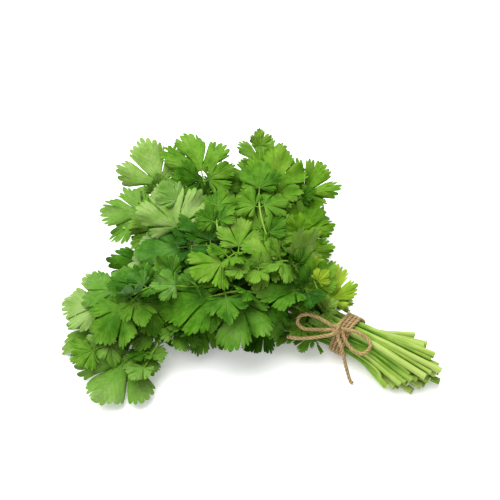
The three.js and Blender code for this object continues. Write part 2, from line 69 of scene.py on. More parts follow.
# ---- the camera --------------------------------------------------------------------------------
# A long lens looks down on the lying bunch from its front, a little from the side of the cut ends.
# It stands well back, so that near and far parts of the bunch keep their sizes.
azimuth, elevation = math.radians(30), math.radians(52)
LENS, SENSOR, CAMERA_FAR = 80, 36, 755.6
AIM_HIGH, AIM_LEFT, AIM_UP = 15, 65.96, 56.44  # from the middle of the tie to the view's middle
back = Vector((
    math.sin(azimuth) * math.cos(elevation),
    -math.cos(azimuth) * math.cos(elevation),
    math.sin(elevation),
))
right = Vector((math.cos(azimuth), math.sin(azimuth), 0))
up = back.cross(right)
aim = Vector(TIE) + Vector((0, 0, AIM_HIGH)) - AIM_LEFT * right + AIM_UP * up
camera = bpy.data.objects.new("camera", bpy.data.cameras.new("camera"))
camera.data.lens, camera.data.sensor_width = LENS, SENSOR
camera.location = (aim + CAMERA_FAR * back) * MM
camera.rotation_euler = Matrix((right, up, back)).transposed().to_euler()
scene.collection.objects.link(camera)
scene.camera = camera

# ---- the loops and loose ends of the bow -------------------------------------------------------
# One length of jute twine: three plies of soft tan fibre laid up to 2.4 mm. It leaves the knot in
# two loops that go back into it, and in two loose ends that are cut off bare.
TWINE = 2.4
PLIES, LAY = 3, 9.0  # a ply goes once round in this length
GROOVE, GROOVE_FORM = 0.26, 1.6  # how deep the grooves are, and how narrow
RIDGE_DRIFT = 0.02  # how far ridges wind round in a millimetre, in radians
LINE_PARTS = 60  # parts between two points of a line, before it is cut into even steps
SHARP_FROM = math.radians(70)


def line_through(points, step):
    """A smooth line through points, with a point each step. Between two points it is a cubic whose
    slopes there are those of a parabola through each point and its neighbours, timed by the square
    root of their distance."""
    p = np.asarray(points, float)
    p = np.concatenate([2 * p[:1] - p[1:2], p, 2 * p[-1:] - p[-2:-1]])
    gap = np.sqrt(np.linalg.norm(np.diff(p, axis=0), axis=1))[:, None]
    chord = np.diff(p, axis=0) / gap
    slope = chord[:-1] + chord[1:] - (p[2:] - p[:-2]) / (gap[:-1] + gap[1:])
    a, b, span = p[1:-2, None], p[2:-1, None], gap[1:-1, None]
    m, n = slope[:-1, None] * span, slope[1:, None] * span
    t = np.linspace(0, 1, LINE_PARTS)[None, :, None]
    fine = a + m * t + (3 * (b - a) - 2 * m - n) * t**2 + (2 * (a - b) + m + n) * t**3
    fine = fine.reshape(-1, 3)
    far = np.concatenate([[0], np.cumsum(np.linalg.norm(np.diff(fine, axis=0), axis=1))])
    stops = np.linspace(0, far[-1], max(2, round(far[-1] / step) + 1))
    return np.stack([np.interp(stops, far, fine[:, k]) for k in range(3)], 1)


def distance_along(line):
    """How far each point of a line is from its start, along it."""
    return np.concatenate([[0], np.cumsum(np.linalg.norm(np.diff(line, axis=0), axis=1))])


def unit(v):
    """The same direction or directions, one long."""
    return v / np.linalg.norm(v, axis=-1, keepdims=True)


def tube(line, radius, sides, plies=0, ridges=0, ridge=0.0, closed=False):
    """A tube round a line. At each of the line's points a ring of corners stands off by the radius,
    in the two directions that are square to the line, counted from the way the line bends least.
    Plies wind round once in each LAY and are round between their grooves; ridges run straight.
    Each corner also gets its place round the tube, from 0 to 1 and counted along with the plies,
    and its place along it in millimetres."""
    n = len(line)
    tangent = np.gradient(line, axis=0)
    if closed:
        tangent = np.roll(line, -1, 0) - np.roll(line, 1, 0)
    tangent = unit(tangent)
    least = np.linalg.svd(line - line.mean(0), full_matrices=False)[2][2]
    normal = unit(least - (tangent @ least)[:, None] * tangent)
    binormal = np.cross(tangent, normal)
    far = distance_along(line)
    angle = 2 * np.pi * np.arange(sides) / sides
    lie = angle[None, :] - 2 * np.pi * far[:, None] / LAY * (plies > 0)
    r = np.broadcast_to(np.asarray(radius, float), (n,))[:, None] * np.ones((1, sides))
    if plies:
        r = r * (1 - GROOVE * (1 - np.abs(np.sin(plies / 2 * lie))) ** GROOVE_FORM)
    if ridges:
        r = r * (1 + ridge * np.cos(ridges * lie + RIDGE_DRIFT * far[:, None]))
    c, s = np.cos(angle)[None, :, None], np.sin(angle)[None, :, None]
    ring = c * normal[:, None] + s * binormal[:, None]
    points = (line[:, None] + r[..., None] * ring).reshape(-1, 3)

    k, j = np.meshgrid(np.arange(n if closed else n - 1), np.arange(sides), indexing="ij")
    k, j = k.ravel(), j.ravel()
    k2, j2 = (k + 1) % n, (j + 1) % sides
    faces = [np.stack([k * sides + j, k * sides + j2, k2 * sides + j2, k2 * sides + j], 1)]
    turn = (lie - angle[None, :])[:, 0] / (2 * np.pi)
    v2 = np.where(k2 == 0, far[-1] + far[1], far[k2])
    uv = [np.stack([
        np.stack([j / sides + turn[k], far[k]], 1), np.stack([(j + 1) / sides + turn[k], far[k]], 1),
        np.stack([(j + 1) / sides + turn[k2], v2], 1), np.stack([j / sides + turn[k2], v2], 1),
    ], 1)]
    if not closed:
        for cap in (np.arange(sides)[::-1], (n - 1) * sides + np.arange(sides)):
            faces.append(cap[None])
            uv.append(np.stack([0.5 + 0.1 * np.cos(angle), far[cap // sides]], 1)[None])
    return {"points": points, "faces": faces, "uv": uv}


def make_piece(name, surfaces, materials, slot, *nodes):
    """One piece from several surfaces. Each gives its points in millimetres from the tie, blocks of
    faces as rows of corners, each corner's place on the surface, each block's material, and values
    that the material reads at the points."""
    starts = np.cumsum([0] + [len(s["points"]) for s in surfaces])
    corners, sizes, places, kinds = [], [], [], []
    for surface, start in zip(surfaces, starts):
        for k, (faces, uv) in enumerate(zip(surface["faces"], surface["uv"])):
            corners.append((faces + start).ravel())
            sizes.append(np.full(len(faces), faces.shape[1]))
            places.append(uv.reshape(-1))
            kinds.append(np.full(len(faces), surface.get("kinds", [0] * (k + 1))[k]))
    corners, sizes = np.concatenate(corners).astype(np.int32), np.concatenate(sizes)
    mesh = bpy.data.meshes.new(name)
    mesh.vertices.add(starts[-1])
    points = np.concatenate([s["points"] for s in surfaces])
    mesh.vertices.foreach_set("co", ((points + TIE) * MM).astype(np.float32).ravel())
    mesh.loops.add(len(corners))
    mesh.loops.foreach_set("vertex_index", corners)
    mesh.polygons.add(len(sizes))
    mesh.polygons.foreach_set("loop_start", (np.cumsum(sizes) - sizes).astype(np.int32))
    mesh.polygons.foreach_set("material_index", np.concatenate(kinds).astype(np.int32))
    mesh.polygons.foreach_set("use_smooth", np.ones(len(sizes), bool))
    mesh.uv_layers.new(name="lie").data.foreach_set("uv", np.concatenate(places).astype(np.float32))
    for value in sorted({v for s in surfaces for v in s.get("values", {})}):
        at = np.concatenate([
            np.broadcast_to(s.get("values", {}).get(value, 0.0), (len(s["points"]),)) for s in surfaces
        ])
        mesh.attributes.new(value, "FLOAT", "POINT").data.foreach_set("value", at.astype(np.float32))
    mesh.update(calc_edges=True)
    mesh.validate()
    mesh.set_sharp_from_angle(angle=SHARP_FROM)
    for material in materials:
        mesh.materials.append(material)
    piece = bpy.data.objects.new(name, mesh)
    scene.collection.objects.link(piece)
    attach(piece, "root")
    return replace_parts(piece, *nodes)


def put(tree, kind, inputs=None, **settings):
    """Adds a node of that kind, with its settings, and joins or sets its inputs."""
    node = tree.nodes.new(kind)
    for name, value in settings.items():
        setattr(node, name, value)
    for name, value in (inputs or {}).items():
        if isinstance(value, bpy.types.NodeSocket):
            tree.links.new(value, node.inputs[name])
        else:
            node.inputs[name].default_value = value
    return node


def maths(tree, operation, a, b=0.0):
    """A Math node on values or sockets."""
    return put(tree, "ShaderNodeMath", {0: a, 1: b}, operation=operation).outputs[0]


def between(tree, value, low, high, to_low=0.0, to_high=1.0):
    """1 past high, 0 before low, and smooth between them, taken to another range."""
    return put(tree, "ShaderNodeMapRange", {
        "Value": value, "From Min": low, "From Max": high, "To Min": to_low, "To Max": to_high,
    }, interpolation_type="SMOOTHSTEP").outputs["Result"]


def shades(tree, value, stops):
    """A colour from a row of (place, (r, g, b)) stops."""
    ramp = put(tree, "ShaderNodeValToRGB", {"Fac": value})
    elements = ramp.color_ramp.elements
    while len(elements) < len(stops):
        elements.new(0.5)
    for element, (place, colour) in zip(elements, stops):
        element.position, element.color = place, (*colour, 1)
    return ramp.outputs["Color"]


def mixed(tree, share, a, b, blend="MIX"):
    """Colour a gone over into colour b, or into their product, by this share."""
    node = put(tree, "ShaderNodeMix", {"Factor": share}, data_type="RGBA", blend_type=blend)
    for socket, value in ((node.inputs[6], a), (node.inputs[7], b)):
        if isinstance(value, bpy.types.NodeSocket):
            tree.links.new(value, socket)
        else:
            socket.default_value = (*value, 1)
    return node.outputs[2]


def noise(tree, vector, scale, detail=3.0, roughness=0.55):
    """Soft noise about 0.5."""
    return put(tree, "ShaderNodeTexNoise", {
        "Vector": vector, "Scale": scale, "Detail": detail, "Roughness": roughness,
    }).outputs["Fac"]


def stretched(tree, vector, x, y, z=1.0):
    """Places multiplied along each axis, so that a pattern on them is drawn out along the least."""
    return put(tree, "ShaderNodeMapping", {"Vector": vector, "Scale": (x, y, z)}).outputs["Vector"]


def new_material(name):
    """An empty material and its tree of nodes."""
    material = bpy.data.materials.new(name)
    material.use_nodes = True
    material.node_tree.nodes.clear()
    return material, material.node_tree


def new_group(name, takes, gives):
    """A group of shader nodes with these inputs and outputs: the group, what comes in, and what
    goes out."""
    group = bpy.data.node_groups.new(name, "ShaderNodeTree")
    for way, sockets in (("INPUT", takes), ("OUTPUT", gives)):
        for socket, kind in sockets.items():
            group.interface.new_socket(socket, in_out=way, socket_type=f"NodeSocket{kind}")
    return group, group.nodes.new("NodeGroupInput").outputs, group.nodes.new("NodeGroupOutput").inputs


def finish_with(tree, shader):
    """The shader that the surface shows."""
    put(tree, "ShaderNodeOutputMaterial", {"Surface": shader})


def jute():
    """Dry jute: fibres that follow the plies, tan with brown and straw ones among them, matt, and
    darkened in the grooves by painted shade."""
    material, tree = new_material("jute")
    lie = put(tree, "ShaderNodeUVMap", uv_map="lie").outputs["UV"]
    here = put(tree, "ShaderNodeTexCoord").outputs["Object"]
    fibres = noise(tree, stretched(tree, lie, 34, 0.5), 1.0, 4.0, 0.62)
    patches = noise(tree, here, 180.0, 2.0)
    round_it = put(tree, "ShaderNodeSeparateXYZ", {"Vector": lie}).outputs["X"]
    crown = maths(tree, "PINGPONG", maths(tree, "MULTIPLY", round_it, float(PLIES)), 0.5)
    mix = maths(tree, "MULTIPLY", fibres, 0.75)
    mix = maths(tree, "ADD", mix, maths(tree, "MULTIPLY", patches, 0.25))
    tan = shades(tree, mix, [
        (0.30, (0.11, 0.066, 0.022)), (0.45, (0.27, 0.175, 0.062)),
        (0.56, (0.43, 0.300, 0.125)), (0.70, (0.66, 0.520, 0.280)),
    ])
    # Painted shade: the grooves between the plies are coloured over towards a deep brown.
    deep = between(tree, crown, 0.0, 0.22, 0.85, 0.0)
    colour = mixed(tree, deep, tan, (0.10, 0.052, 0.018))
    height = maths(tree, "ADD", fibres, maths(tree, "MULTIPLY", crown, 0.8))
    bump = put(tree, "ShaderNodeBump", {"Height": height, "Strength": 0.9, "Distance": 0.00016})
    shader = put(tree, "ShaderNodeBsdfPrincipled", {
        "Base Color": colour, "Roughness": 0.92, "Normal": bump.outputs["Normal"],
        "Specular IOR Level": 0.2, "Sheen Weight": 0.25, "Sheen Roughness": 0.5,
    })
    finish_with(tree, shader.outputs[0])
    return material


JUTE = jute()
BOW = {
    "twine_loop_a": [
        [-8.4, -10.4, 31.8], [-14, -10.8, 34], [-20, -11.4, 35.2], [-25.5, -13, 35.2], [-28.8, -16, 34],
        [-28.4, -19.4, 32], [-24.5, -20.9, 30.4], [-19, -19, 29.8], [-13.5, -16, 29.7], [-8.6, -13.4, 29.6],
    ],
    "twine_loop_b": [
        [2.5, -8, 31], [6.5, -6.6, 31], [11.5, -5.6, 29.8], [16.5, -5.4, 28.2], [20.3, -7.2, 26.6],
        [20.6, -11, 24], [17.5, -14.6, 22.2], [12.5, -15.6, 22.8], [7.5, -14.4, 25], [3, -12.4, 27.8],
    ],
    "twine_tail_a": [
        [-4.9, -14.5, 28.2], [-12.6, -20.2, 27], [-19, -24, 25.7], [-25, -26.5, 24.4], [-31.4, -27.6, 22.8],
    ],
    "twine_tail_b": [
        [-0.5, -14.2, 27.8], [4, -17.5, 23.5], [7.5, -20, 18], [10.5, -22, 12], [13.5, -23.8, 6.5],
        [15.8, -25, 2.6], [18.3, -26, 1.35],
    ],
}
TWINE_STEP, TWINE_SIDES = 0.3, 24
for node, points in BOW.items():
    line = line_through(points, TWINE_STEP)
    name = node.replace("twine", "bow")
    part = make_piece(name, [tube(line, TWINE / 2, TWINE_SIDES, PLIES)], [JUTE], "twine", node)

# ---- the turns round the stems -----------------------------------------------------------------
# The same twine goes four times round the stems and is drawn tight: in each direction it is held
# off by the stem that stands out furthest. Its ends are tucked in underneath.
TIE_ROWS = [3, 4, 5, 6, 5, 4]  # stems in each row at the tie, from the top
TIE_PITCH, TIE_RISE, TIE_LOWEST = 4.5, 3.9, 4.75  # between stems, between rows, and up to the lowest row
TURNS, TURN_STEPS, TURN_PITCH = 4, 16, 2.55  # turns, the places where each is held off, and their pitch
TURN_OFF, TURN_SLANT = 0.4, 0.18  # how far they stay off the stems, and lean for each mm across
FIRST_TURN = math.radians(-135)
TURN_STEP, STEM_AT_TIE = 0.45, 2.0

slots = np.array([
    ((k - (count - 1) / 2) * TIE_PITCH, TIE_LOWEST + (len(TIE_ROWS) - 1 - row) * TIE_RISE)
    for row, count in enumerate(TIE_ROWS) for k in range(count)
])
turn = np.arange(TURNS * TURN_STEPS + 1)
angle = FIRST_TURN + 2 * np.pi * turn / TURN_STEPS
outward = np.stack([np.cos(angle), np.sin(angle)], 1)
held_by = slots[np.argmax(outward @ slots.T, axis=1)]
wrap_line = np.column_stack([
    (turn / TURN_STEPS - TURNS / 2) * TURN_PITCH + TURN_SLANT * held_by[:, 0],
    held_by + outward * (STEM_AT_TIE + TURN_OFF + TWINE / 2),
])
wrap = tube(line_through(wrap_line, TURN_STEP), TWINE / 2, TWINE_SIDES, PLIES)
make_piece("tie_turns", [wrap], [JUTE], "twine", "twine_wrap")

# ---- the knot ----------------------------------------------------------------------------------
# A ring of twine drawn tight round the two strands that the loops run out of, with the loose ends
# coming out from under it.
KNOT_AT = np.array([-3, -10, 30.3])
KNOT_WAY = unit(np.array([0.96, 0.24, -0.08]))
KNOT_OUT = np.array([0, -0.6, 0.8])
KNOT_OUT = unit(KNOT_OUT - (KNOT_OUT @ KNOT_WAY) * KNOT_WAY)
KNOT_SIDE = np.cross(KNOT_WAY, KNOT_OUT)
RING_WIDE, RING_HIGH, RING_POINTS = 3.4, 2.1, 72  # the ring's two half widths, and its points
STRAND_OFF, STRAND_HALF, STRAND_RADIUS = 0.46 * TWINE, 3.4, TWINE / 2.02
TAIL_OFF, TAIL_RISE = 1.2, 0.5  # where a loose end starts inside, and how far it arches

angle = np.linspace(0, 2 * np.pi, RING_POINTS, endpoint=False)[:, None]
ring = KNOT_AT + RING_WIDE * np.cos(angle) * KNOT_SIDE + RING_HIGH * np.sin(angle) * KNOT_OUT
knot = [tube(ring, TWINE / 2, TWINE_SIDES, PLIES, closed=True)]
strands = [
    (-1, BOW["twine_loop_a"][0], BOW["twine_loop_b"][0]),
    (1, BOW["twine_loop_a"][-1], BOW["twine_loop_b"][-1]),
]
for way, start, end in strands:
    middle = KNOT_AT + way * STRAND_OFF * KNOT_SIDE
    inside = [middle - STRAND_HALF * KNOT_WAY, middle, middle + STRAND_HALF * KNOT_WAY]
    strand = line_through([start, *inside, end], TWINE_STEP)
    knot.append(tube(strand, STRAND_RADIUS, TWINE_SIDES, PLIES))
for start, lean in ((BOW["twine_tail_a"][0], -1.0), (BOW["twine_tail_b"][0], 1.0)):
    root = KNOT_AT + TAIL_OFF * KNOT_SIDE + lean * KNOT_WAY
    knee = (np.array(start) + root) / 2 + TAIL_RISE * KNOT_OUT
    knot.append(tube(line_through([root, knee, start], TWINE_STEP), STRAND_RADIUS, TWINE_SIDES, PLIES))
make_piece("tie_knot", knot, [JUTE], "twine", "twine_knot")

# ---- the stems ---------------------------------------------------------------------------------
# 27 tender stems, one to each leaf: pale green, round and finely ribbed, thinner towards the leaf,
# and cut across with a knife. Below the tie they spread a little; above it they fan out, pushing
# each other aside where they would cross.
LEAVES = [
    # name, head of the rib, turn, nose, roll, size, leaflets, tone, warmth. The tone is partly the
    # leaf's own green and partly painted shade: leaves that lie low under the mound get a deeper one.
    ("crest", (-81, -38, 48), -132, -8, -10, 36, 5, 0.38, 0.0),
    ("collar_top", (-60, 5, 50), -100, -14, 0, 27, 7, 0.62, 0.3),
    ("neck_back", (-17, 3, 33), 98, 4, 0, 28, 3, 0.8, 1.0),
    ("brow", (-88, -15, 54), -88, -12, 0, 25, 7, 0.55, 0.2),
    ("crown", (-82, 26, 48), 160, 12, -12, 26, 5, 0.55, 0.2),
    ("shoulder_top", (-38, -3, 42), -128, -8, 0, 30, 3, 0.3, -0.2),
    ("wing_back", (-76, 77, 37), 86, 14, 14, 28, 5, 0.52, 0.4),
    ("wing_front", (-132, -67, 36), -100, -18, 0, 28, 5, 0.46, -0.1),
    ("plume_low", (-123, -12, 44), -140, -12, -14, 32, 5, 0.34, -0.7),
    ("plume", (-132, -3, 48), 126, 34, 0, 36, 5, 0.92, 0.0),
    ("fork", (-94, 65, 46), 104, 30, 0, 32, 5, 0.66, 0.4),
    ("shoulder_back", (-61, 46, 34), 84, 10, 14, 26, 5, 0.46, 0.6),
    ("neck_front", (-25, -12, 24), -160, 8, -30, 20, 3, 0.62, 0.2),
    ("tip_front", (-147, -58, 30), 165, 6, -16, 29, 5, 0.42, -0.4),
    ("tip_middle", (-166, 6, 34), -158, 4, -20, 31, 5, 0.7, 0.1),
    ("tip_pale", (-170, 33, 36), 138, 24, -8, 40, 3, 0.88, 0.0),
    ("tip_broad", (-149, 56, 40), 134, 24, 0, 36, 5, 0.5, 0.1),
    ("tip_back", (-117, 88, 36), 116, 30, 0, 25, 5, 0.52, 0.1),
    ("skirt_front", (-113, -60, 21), -142, -8, -12, 27, 7, 0.5, 0.1),
    ("fringe_front", (-152, -64, 19), -160, -2, -16, 31, 5, 0.85, 0.0),
    ("under_middle", (-128, 16, 16), 170, 0, 0, 38, 5, 0.2, 0.1),
    ("under_back", (-128, 58, 16), 140, 4, 0, 38, 5, 0.25, 0.2),
    ("hem_back", (-78, 62, 14), 96, 6, 14, 34, 5, 0.35, 0.4),
    ("foot_front", (-120, -86, 9), -88, -4, 0, 37, 3, 0.58, 0.0),
    ("hem_front", (-66, -20, 10), -156, 0, -10, 26, 7, 0.2, 0.1),
    ("fringe_low", (-148, -76, 9), -118, -4, 0, 30, 5, 0.66, 0.0),
    ("under_front", (-136, -20, 18), -164, 2, -8, 34, 7, 0.22, 0.0),
]
STEM_CUT, STEM_LEAF, RIB = 2.3, 1.1, 0.9  # radii at the cut end, at the leaf and of the rib
TIE_LEVEL = 8  # stems lie level and straight as far as this on both sides of the tie's middle
CUT_REACH, CUT_SLANT, CUT_UNEVEN = 72, 1.15, 7  # how far out they're cut: less at the sides, and unevenly
CUT_SPREAD, CUT_SIDEWAYS, CUT_RISE = 2.05, 2, 3.2  # how the cut ends spread, shift and are stacked
ABOVE, IN_RIB = 6, 4  # straight pieces above the tie, and in a rib
LEAFLET_BACK = [0, 0.52, 0.52, 1.3, 1.3, 2.0, 2.0]  # how far back on the rib, in leaf sizes
RIB_PAST_LAST, RIB_SHARE = 0.14, 0.82  # in leaf sizes; the most of a stem's length it may be
SETTLE_STEPS, SETTLE_ROOM, SETTLE_PUSH, SETTLE_STIFF = 120, 0.4, 0.45, 0.12
SETTLE_FROM, SETTLE_OVER, CLEAR = 9, 12, 0.3  # free from here on, over this distance; least gap
HOLD_BELOW, HOLD_ABOVE, BEND_PARTS = 0.4, 0.36, 200
STEM_LONG = 230  # about a stem's length, along which its skin turns greener
STEM_STEP, STEM_SIDES, STEM_RIDGES, STEM_RIDGE, STEM_OVERLAP = 3.0, 24, 5, 0.03, 0.8
STEM_UNEVEN, STEM_WAVE = 0.035, 7  # how much thicker it gets in places, and how often
CUT_RINGS = np.array([1.0, 0.94, 0.72, 0.42, 0.2])  # the rings of a cut face, in its radius
CUT_INWARD = np.array([0.0, -0.1, -0.05, 0.12, 0.7])  # how far each is pushed into the stem
CUT_PROUD, CUT_LEAN, CUT_DEEP = 1.01, 0.28, 0.9


def chance(*numbers):
    """A number from 0 to 1 that is always the same for the same whole numbers. The first of them
    say what it is drawn for, and the last which of its features."""
    h = 2166136261
    for n in numbers:
        h = ((h ^ (n + 1)) * 16777619) & 0xFFFFFFFF
    h ^= h >> 15
    h = (h * 0x2C1B3C6D) & 0xFFFFFFFF
    h ^= h >> 12
    h = (h * 0x297A2D39) & 0xFFFFFFFF
    h ^= h >> 15
    return h / 4294967296


def spread(*numbers):
    """The same, from -1 to 1."""
    return 2 * chance(*numbers) - 1


def turned(directions, turn, nose, roll):
    """Ahead, left and up, turned about up, then raised, then leant, in degrees."""
    ahead, left, up = directions
    for pair, degrees in (("al", turn), ("au", nose), ("lu", roll)):
        c, s = math.cos(math.radians(degrees)), math.sin(math.radians(degrees))
        if pair == "al":
            ahead, left = c * ahead + s * left, c * left - s * ahead
        elif pair == "au":
            ahead, up = c * ahead + s * up, c * up - s * ahead
        else:
            left, up = c * left + s * up, c * up - s * left
    return ahead, left, up


def bend_points(start, out, end, back, share, shares):
    """A cubic Bezier bend that keeps a direction at each end over a share of the straight distance,
    at these shares of its length, and its length."""
    start, out, end, back = (np.asarray(v, float) for v in (start, out, end, back))
    hold = share * np.linalg.norm(end - start)
    hull = np.array([start, start + hold * out, end + hold * back, end])

    def at(t):
        t = t[:, None]
        weights = np.concatenate([(1 - t)**3, 3 * (1 - t)**2 * t, 3 * (1 - t) * t**2, t**3], 1)
        return weights @ hull

    t = np.linspace(0, 1, BEND_PARTS + 1)
    far = distance_along(at(t))
    return at(np.interp(np.asarray(shares) * far[-1], far, t)), far[-1]


def stem_below(number):
    """From the cut end to the tie: three straight pieces of a gentle bend."""
    side, height = slots[number]
    level = round((height - TIE_LOWEST) / TIE_RISE)
    across = side * CUT_SPREAD
    reach = CUT_REACH - CUT_SLANT * abs(across) - CUT_UNEVEN * chance(number, 1)
    cut = np.array([reach, across + CUT_SIDEWAYS, STEM_CUT + level * CUT_RISE])
    tie = np.array([TIE_LEVEL, side, height])
    return bend_points(cut, unit(tie - cut), tie, (1, 0, 0), HOLD_BELOW, np.arange(4) / 3)[0]


def stem_above(number):
    """From the tie to the head of the leaf, as a bend that ends the way the leaf points. Its last
    pieces are the leaf's rib."""
    _, head, turn, nose, roll, size, leaflets, *_ = LEAVES[number]
    ahead = turned(np.eye(3), turn, nose, roll)[0]
    tie = (-TIE_LEVEL, *slots[number])
    length = bend_points(tie, (-1, 0, 0), head, -ahead, HOLD_ABOVE, [0])[1]
    rib = min(RIB_SHARE, (LEAFLET_BACK[leaflets - 1] + RIB_PAST_LAST) * size / length)
    shares = [(1 - rib) * k / ABOVE for k in range(ABOVE)]
    shares += [1 - rib + rib * k / IN_RIB for k in range(IN_RIB + 1)]
    return bend_points(tie, (-1, 0, 0), head, -ahead, HOLD_ABOVE, shares)[0]


def settle(lines):
    """Stems that would cross push each other aside: at each step, the nearest points of every two
    straight pieces that are too near move apart, and each line's shift is evened out along it."""
    count, n = lines.shape[:2]
    radius = np.array([
        RIB if k > ABOVE else STEM_AT_TIE + (STEM_LEAF - STEM_AT_TIE) * k / ABOVE for k in range(n)
    ])
    free = np.clip((-lines[..., 0] - SETTLE_FROM) / SETTLE_OVER, 0, 1)[..., None]
    drawn, moved = lines.copy(), lines.copy()
    one, other = np.triu_indices(count, 1)
    k, l = (g.ravel() for g in np.meshgrid(np.arange(1, n), np.arange(1, n), indexing="ij"))
    i, j = np.repeat(one, len(k)), np.repeat(other, len(k))
    k, l = np.tile(k, len(one)), np.tile(l, len(one))
    room = radius[k] + radius[l] + CLEAR + SETTLE_ROOM
    for _ in range(SETTLE_STEPS):
        a0, a1, b0, b1 = moved[i, k - 1], moved[i, k], moved[j, l - 1], moved[j, l]
        u, v, w = a1 - a0, b1 - b0, a0 - b0
        uu, uv, vv = (u * u).sum(1), (u * v).sum(1), (v * v).sum(1)
        uw, vw = (u * w).sum(1), (v * w).sum(1)
        square = uu * vv - uv * uv
        level = square <= 1e-9 * uu * vv
        s = np.where(level, 0.5, np.clip((uv * vw - vv * uw) / np.where(level, 1, square), 0, 1))
        t = np.clip((uv * s + vw) / vv, 0, 1)
        s = np.clip((uv * t - uw) / uu, 0, 1)
        apart = v * t[:, None] - u * s[:, None] - w
        gap = np.linalg.norm(apart, axis=1)
        near = (gap < room) & (gap > 0)
        away = apart[near] * ((room - gap)[near] * SETTLE_PUSH / gap[near])[:, None]
        s, t = s[near][:, None], t[near][:, None]
        push = np.zeros_like(moved)
        np.add.at(push, (i[near], k[near] - 1), -(1 - s) * away)
        np.add.at(push, (i[near], k[near]), -s * away)
        np.add.at(push, (j[near], l[near] - 1), (1 - t) * away)
        np.add.at(push, (j[near], l[near]), t * away)
        shift = moved - drawn
        padded = np.concatenate([shift[:, :1], shift, shift[:, -1:]], 1)
        even = (padded[:, :-2] + padded[:, 2:]) / 2 - shift
        moved = moved + free * (push + SETTLE_STIFF * even)
        moved[..., 2] = np.maximum(moved[..., 2], radius)
    return moved


def streaked_green():
    """Fine streaks and ribs that run along a stem. Green is 0 where it is palest and 1 where it is
    deepest: it deepens along the stem and pales with its tone."""
    takes = {"Place": "Vector", "Along": "Float", "Tone": "Float"}
    gives = {"Green": "Float", "Streaks": "Float", "Ribs": "Float"}
    group, given, out = new_group("streaked_green", takes, gives)
    here = put(group, "ShaderNodeTexCoord").outputs["Object"]
    streaks = noise(group, stretched(group, given["Place"], 26, 0.06), 1.0, 3.0, 0.6)
    patches = noise(group, here, 60.0, 3.0)
    green = maths(group, "MULTIPLY", streaks, 0.7)
    for value, share in ((patches, 0.25), (given["Along"], 0.22), (given["Tone"], -0.3)):
        green = maths(group, "ADD", green, maths(group, "MULTIPLY", value, share))
    group.links.new(green, out["Green"])
    group.links.new(streaks, out["Streaks"])
    group.links.new(noise(group, stretched(group, given["Place"], 14, 0.02), 1.0, 2.0, 0.5), out["Ribs"])
    return group


STREAKED_GREEN = streaked_green()


def green_skin(name, stops, gloss):
    """A tender stem's skin: streaked green, paler towards the cut, and a slight gloss."""
    material, tree = new_material(name)
    along = put(tree, "ShaderNodeAttribute", attribute_name="along").outputs["Fac"]
    streaked = put(tree, "ShaderNodeGroup", {
        "Place": put(tree, "ShaderNodeUVMap", uv_map="lie").outputs["UV"], "Along": along,
        "Tone": put(tree, "ShaderNodeAttribute", attribute_name="tone").outputs["Fac"],
    }, node_tree=STREAKED_GREEN).outputs
    colour = shades(tree, streaked["Green"], stops)
    pale = between(tree, along, 0.0, 0.12, 0.35, 0.0)
    colour = mixed(tree, pale, colour, (0.31, 0.42, 0.08))
    bump = put(tree, "ShaderNodeBump", {"Height": streaked["Ribs"], "Strength": 0.5, "Distance": 0.0003})
    rough = between(tree, streaked["Streaks"], 0.2, 0.8, gloss, gloss + 0.18)
    shader = put(tree, "ShaderNodeBsdfPrincipled", {
        "Base Color": colour, "Roughness": rough, "Normal": bump.outputs["Normal"],
        "Specular IOR Level": 0.12,
    })
    finish_with(tree, shader.outputs[0])
    return material


def cut_face():
    """The cut across a stem: wet pale flesh, greener under the skin and hollow in the middle, where painted
    shade darkens it.
    """
    material, tree = new_material("cut_face")
    across = put(tree, "ShaderNodeAttribute", attribute_name="across").outputs["Fac"]
    here = put(tree, "ShaderNodeTexCoord").outputs["Object"]
    grain = noise(tree, here, 1500.0, 2.0)
    at = maths(tree, "ADD", across, maths(tree, "MULTIPLY", maths(tree, "SUBTRACT", grain, 0.5), 0.18))
    # Painted shade: the middle, at the hollow, is coloured dark; outwards the flesh is pale, then greener
    # under the skin.
    colour = shades(tree, at, [
        (0.05, (0.12, 0.20, 0.03)), (0.34, (0.34, 0.46, 0.13)),
        (0.62, (0.50, 0.60, 0.26)), (0.95, (0.26, 0.42, 0.06)),
    ])
    bump = put(tree, "ShaderNodeBump", {"Height": grain, "Strength": 0.4, "Distance": 0.0001})
    shader = put(tree, "ShaderNodeBsdfPrincipled", {
        "Base Color": colour, "Roughness": 0.35, "Normal": bump.outputs["Normal"],
    })
    finish_with(tree, shader.outputs[0])
    return material


def cut_end(line, radius, number, sides):
    """A disc across the stem's end: rings from the skin in to the middle, each pushed into the stem
    by a hollow in the middle, and all leant by the knife's slant."""
    way = unit(line[0] - line[1])
    side = unit(np.cross(way, (0, 0, 1)))
    over = np.cross(side, way)
    angle = 2 * np.pi * np.arange(sides) / sides
    flat = (np.cos(angle)[:, None] * side + np.sin(angle)[:, None] * over)[None]
    lean = CUT_LEAN * (spread(number, 91) * np.cos(angle) + spread(number, 92) * np.sin(angle))
    ring = (radius * CUT_RINGS)[:, None]
    points = line[0] + ring[..., None] * flat + (ring * lean - CUT_INWARD[:, None])[..., None] * way
    points = np.concatenate([points.reshape(-1, 3), (line[0] - CUT_DEEP * way)[None]])
    last = len(CUT_RINGS) - 1
    k, j = (g.ravel() for g in np.meshgrid(np.arange(last), np.arange(sides), indexing="ij"))
    j2 = (j + 1) % sides
    quads = np.stack([k * sides + j, k * sides + j2, (k + 1) * sides + j2, (k + 1) * sides + j], 1)
    j = np.arange(sides)
    hollow = np.full(sides, len(points) - 1)
    faces = [quads, np.stack([last * sides + j, last * sides + (j + 1) % sides, hollow], 1)]
    across = np.append(np.repeat(CUT_RINGS, sides), 0.0)
    return {
        "points": points, "faces": faces, "uv": [np.zeros((*f.shape, 2)) for f in faces],
        "kinds": [1, 1], "values": {"across": across},
    }


